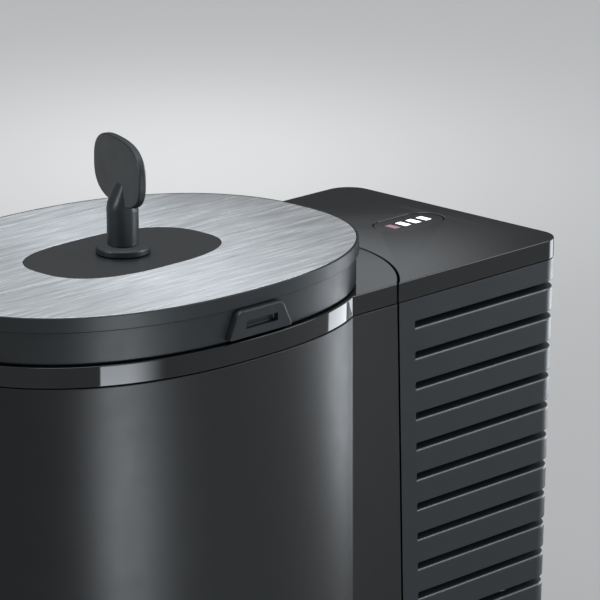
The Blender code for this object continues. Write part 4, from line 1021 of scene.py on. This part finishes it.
def make_floor():
    """A wide matt white table."""
    finish, tree, shader = new_finish("floor")
    tone = mix(tree, noise(tree, 3, detail=2), (0.605, 0.605, 0.605), (0.62, 0.62, 0.62))
    tree.links.new(tone, shader.inputs["Base Color"])
    shader.inputs["Roughness"].default_value = 0.9
    shader.inputs["Specular IOR Level"].default_value = 0.0
    floor = box("floor", (-FLOOR_HALF, -FLOOR_HALF, -FLOOR_T), (FLOOR_HALF, FLOOR_HALF, 0))
    floor.data.materials.append(finish)


def light_group(name, pieces):
    """Pieces that a light reaches while it leaves the others out."""
    group = bpy.data.collections.new(name)
    for piece in pieces:
        group.objects.link(piece)
    return group


def light_floor(level):
    """The pale pool of light on the table behind the machine."""
    glow = area_light("floor_glow", (-0.70, 0.67, 0.26), (-0.70, 0.67, 0), size=(0.10, 0.34), power=0.42,
                      along=level)
    glow.visible_glossy = False
    glow.data.color = (1, 1, 1)


def light_body(machine, front, rear):
    """Soft streaks on the front skin, the rear block's own softer light, and the light from above."""
    area_light("streak_left", (0.345, -0.10, 0.115), (0.05, -0.07, 0.14), size=(0.19, 0.30), power=1.55,
               only=machine, fade=(0.02, 0.6, 0, 0.75))
    area_light("streak_right", (0.095, 0.46, 0.17), (0.055, 0.03, 0.2), size=(0.19, 0.42), power=1.5,
               only=front, fade=(0.05, 0.1, 0, 1.0))
    area_light("corner_soft", (0.05, 0.56, 0.14), (0.055, 0.1, 0.15), size=(0.34, 0.42), power=3.0,
               only=rear, fade=(0.3, 0.3, 0.1, 0.4))
    area_light("side_soft", (0.46, 0.52, 0.45), (0.053, 0.06, 0.2), size=(0.3, 0.3), power=1.3,
               only=machine)
    area_light("edge_light", (0.27, 0.60, 0.67), (0.053, 0.06, 0.12), size=(0.3, 0.3), power=2.8, only=rear)
    area_light("overhead", (0.10, -0.05, 1.25), (0.02, 0, 0.2), size=(0.6, 0.6), power=5.0, only=machine)


def light_port(port):
    """Highlights on both sides of the stopper's stem."""
    port_at = (0, LID_Y, LID_TOP_Z)
    area_light("stem_right", (0.33, 0.30, 0.30), port_at, size=(0.10, 0.25), power=1.8, only=port)
    area_light("stem_left", (-0.12, -0.50, 0.40), port_at, size=(0.12, 0.25), power=1.4, only=port)


def light_lid(lid):
    """Two long bands that the brushed plate shows as light stripes. Nothing else shades them."""
    bands = (("lid_far", (-1.344, 1.816, 1.806), -0.025), ("lid_near", (-1.40, 1.523, 1.89), -0.105))
    for name, at, aim_y in bands:
        band = area_light(name, at, (0, aim_y, LID_TOP_Z), size=(1.75, 0.26), power=4.0, only=lid,
                          fade=(0.3, 0.3, 0.5, 0.5), along=(0.765, 0, 0.644))
        band.light_linking.blocker_collection = lid


def light_gloss(glossy, level):
    """A card that the gloss black covers mirror."""
    area_light("gloss_card", (-0.436, 0.484, 0.525), (0, 0.05, 0.525), size=(0.26, 0.36), power=0.135,
               only=glossy, fade=(0.3, 0.3, 0.17, 0.1), along=level)


def make_stage():
    """Floor, world and lights. Every piece has to be made and dressed before it."""
    everything = list(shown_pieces())
    gloss = [piece for piece in everything if piece.data.materials[0] == finishes["gloss_black"]]
    back = [piece for piece in everything if piece.name == "rear_shell"]
    machine = light_group("machine", everything)
    glossy = light_group("glossy", gloss)
    front = light_group("front", [piece for piece in everything if piece not in back])
    rear = light_group("rear", back)
    port_names = ("stopper_grip", "port_flange")
    port = light_group("port", [piece for piece in everything if piece.name in port_names])
    lid = light_group("lid", [piece for piece in everything if piece.name == "steel_top"])
    level = (math.cos(CAMERA_YAW), math.sin(CAMERA_YAW), 0)
    make_floor()
    make_world()
    light_floor(level)
    light_body(machine, front, rear)
    light_port(port)
    light_lid(lid)
    light_gloss(glossy, level)


# ---------------------------------------------------------------- assembly

bpy.context.scene.view_settings.view_transform = "Standard"
make_camera()
finishes = make_finishes()
make_front_skin()
make_rear_shell()
make_top_covers()
make_indicator()
make_feet()
make_cup()
make_well()
make_collar()
make_lid_rim()
make_lid_top()
make_lid_seal()
make_port()
make_stopper()
finish_frame_nodes()
make_stage()
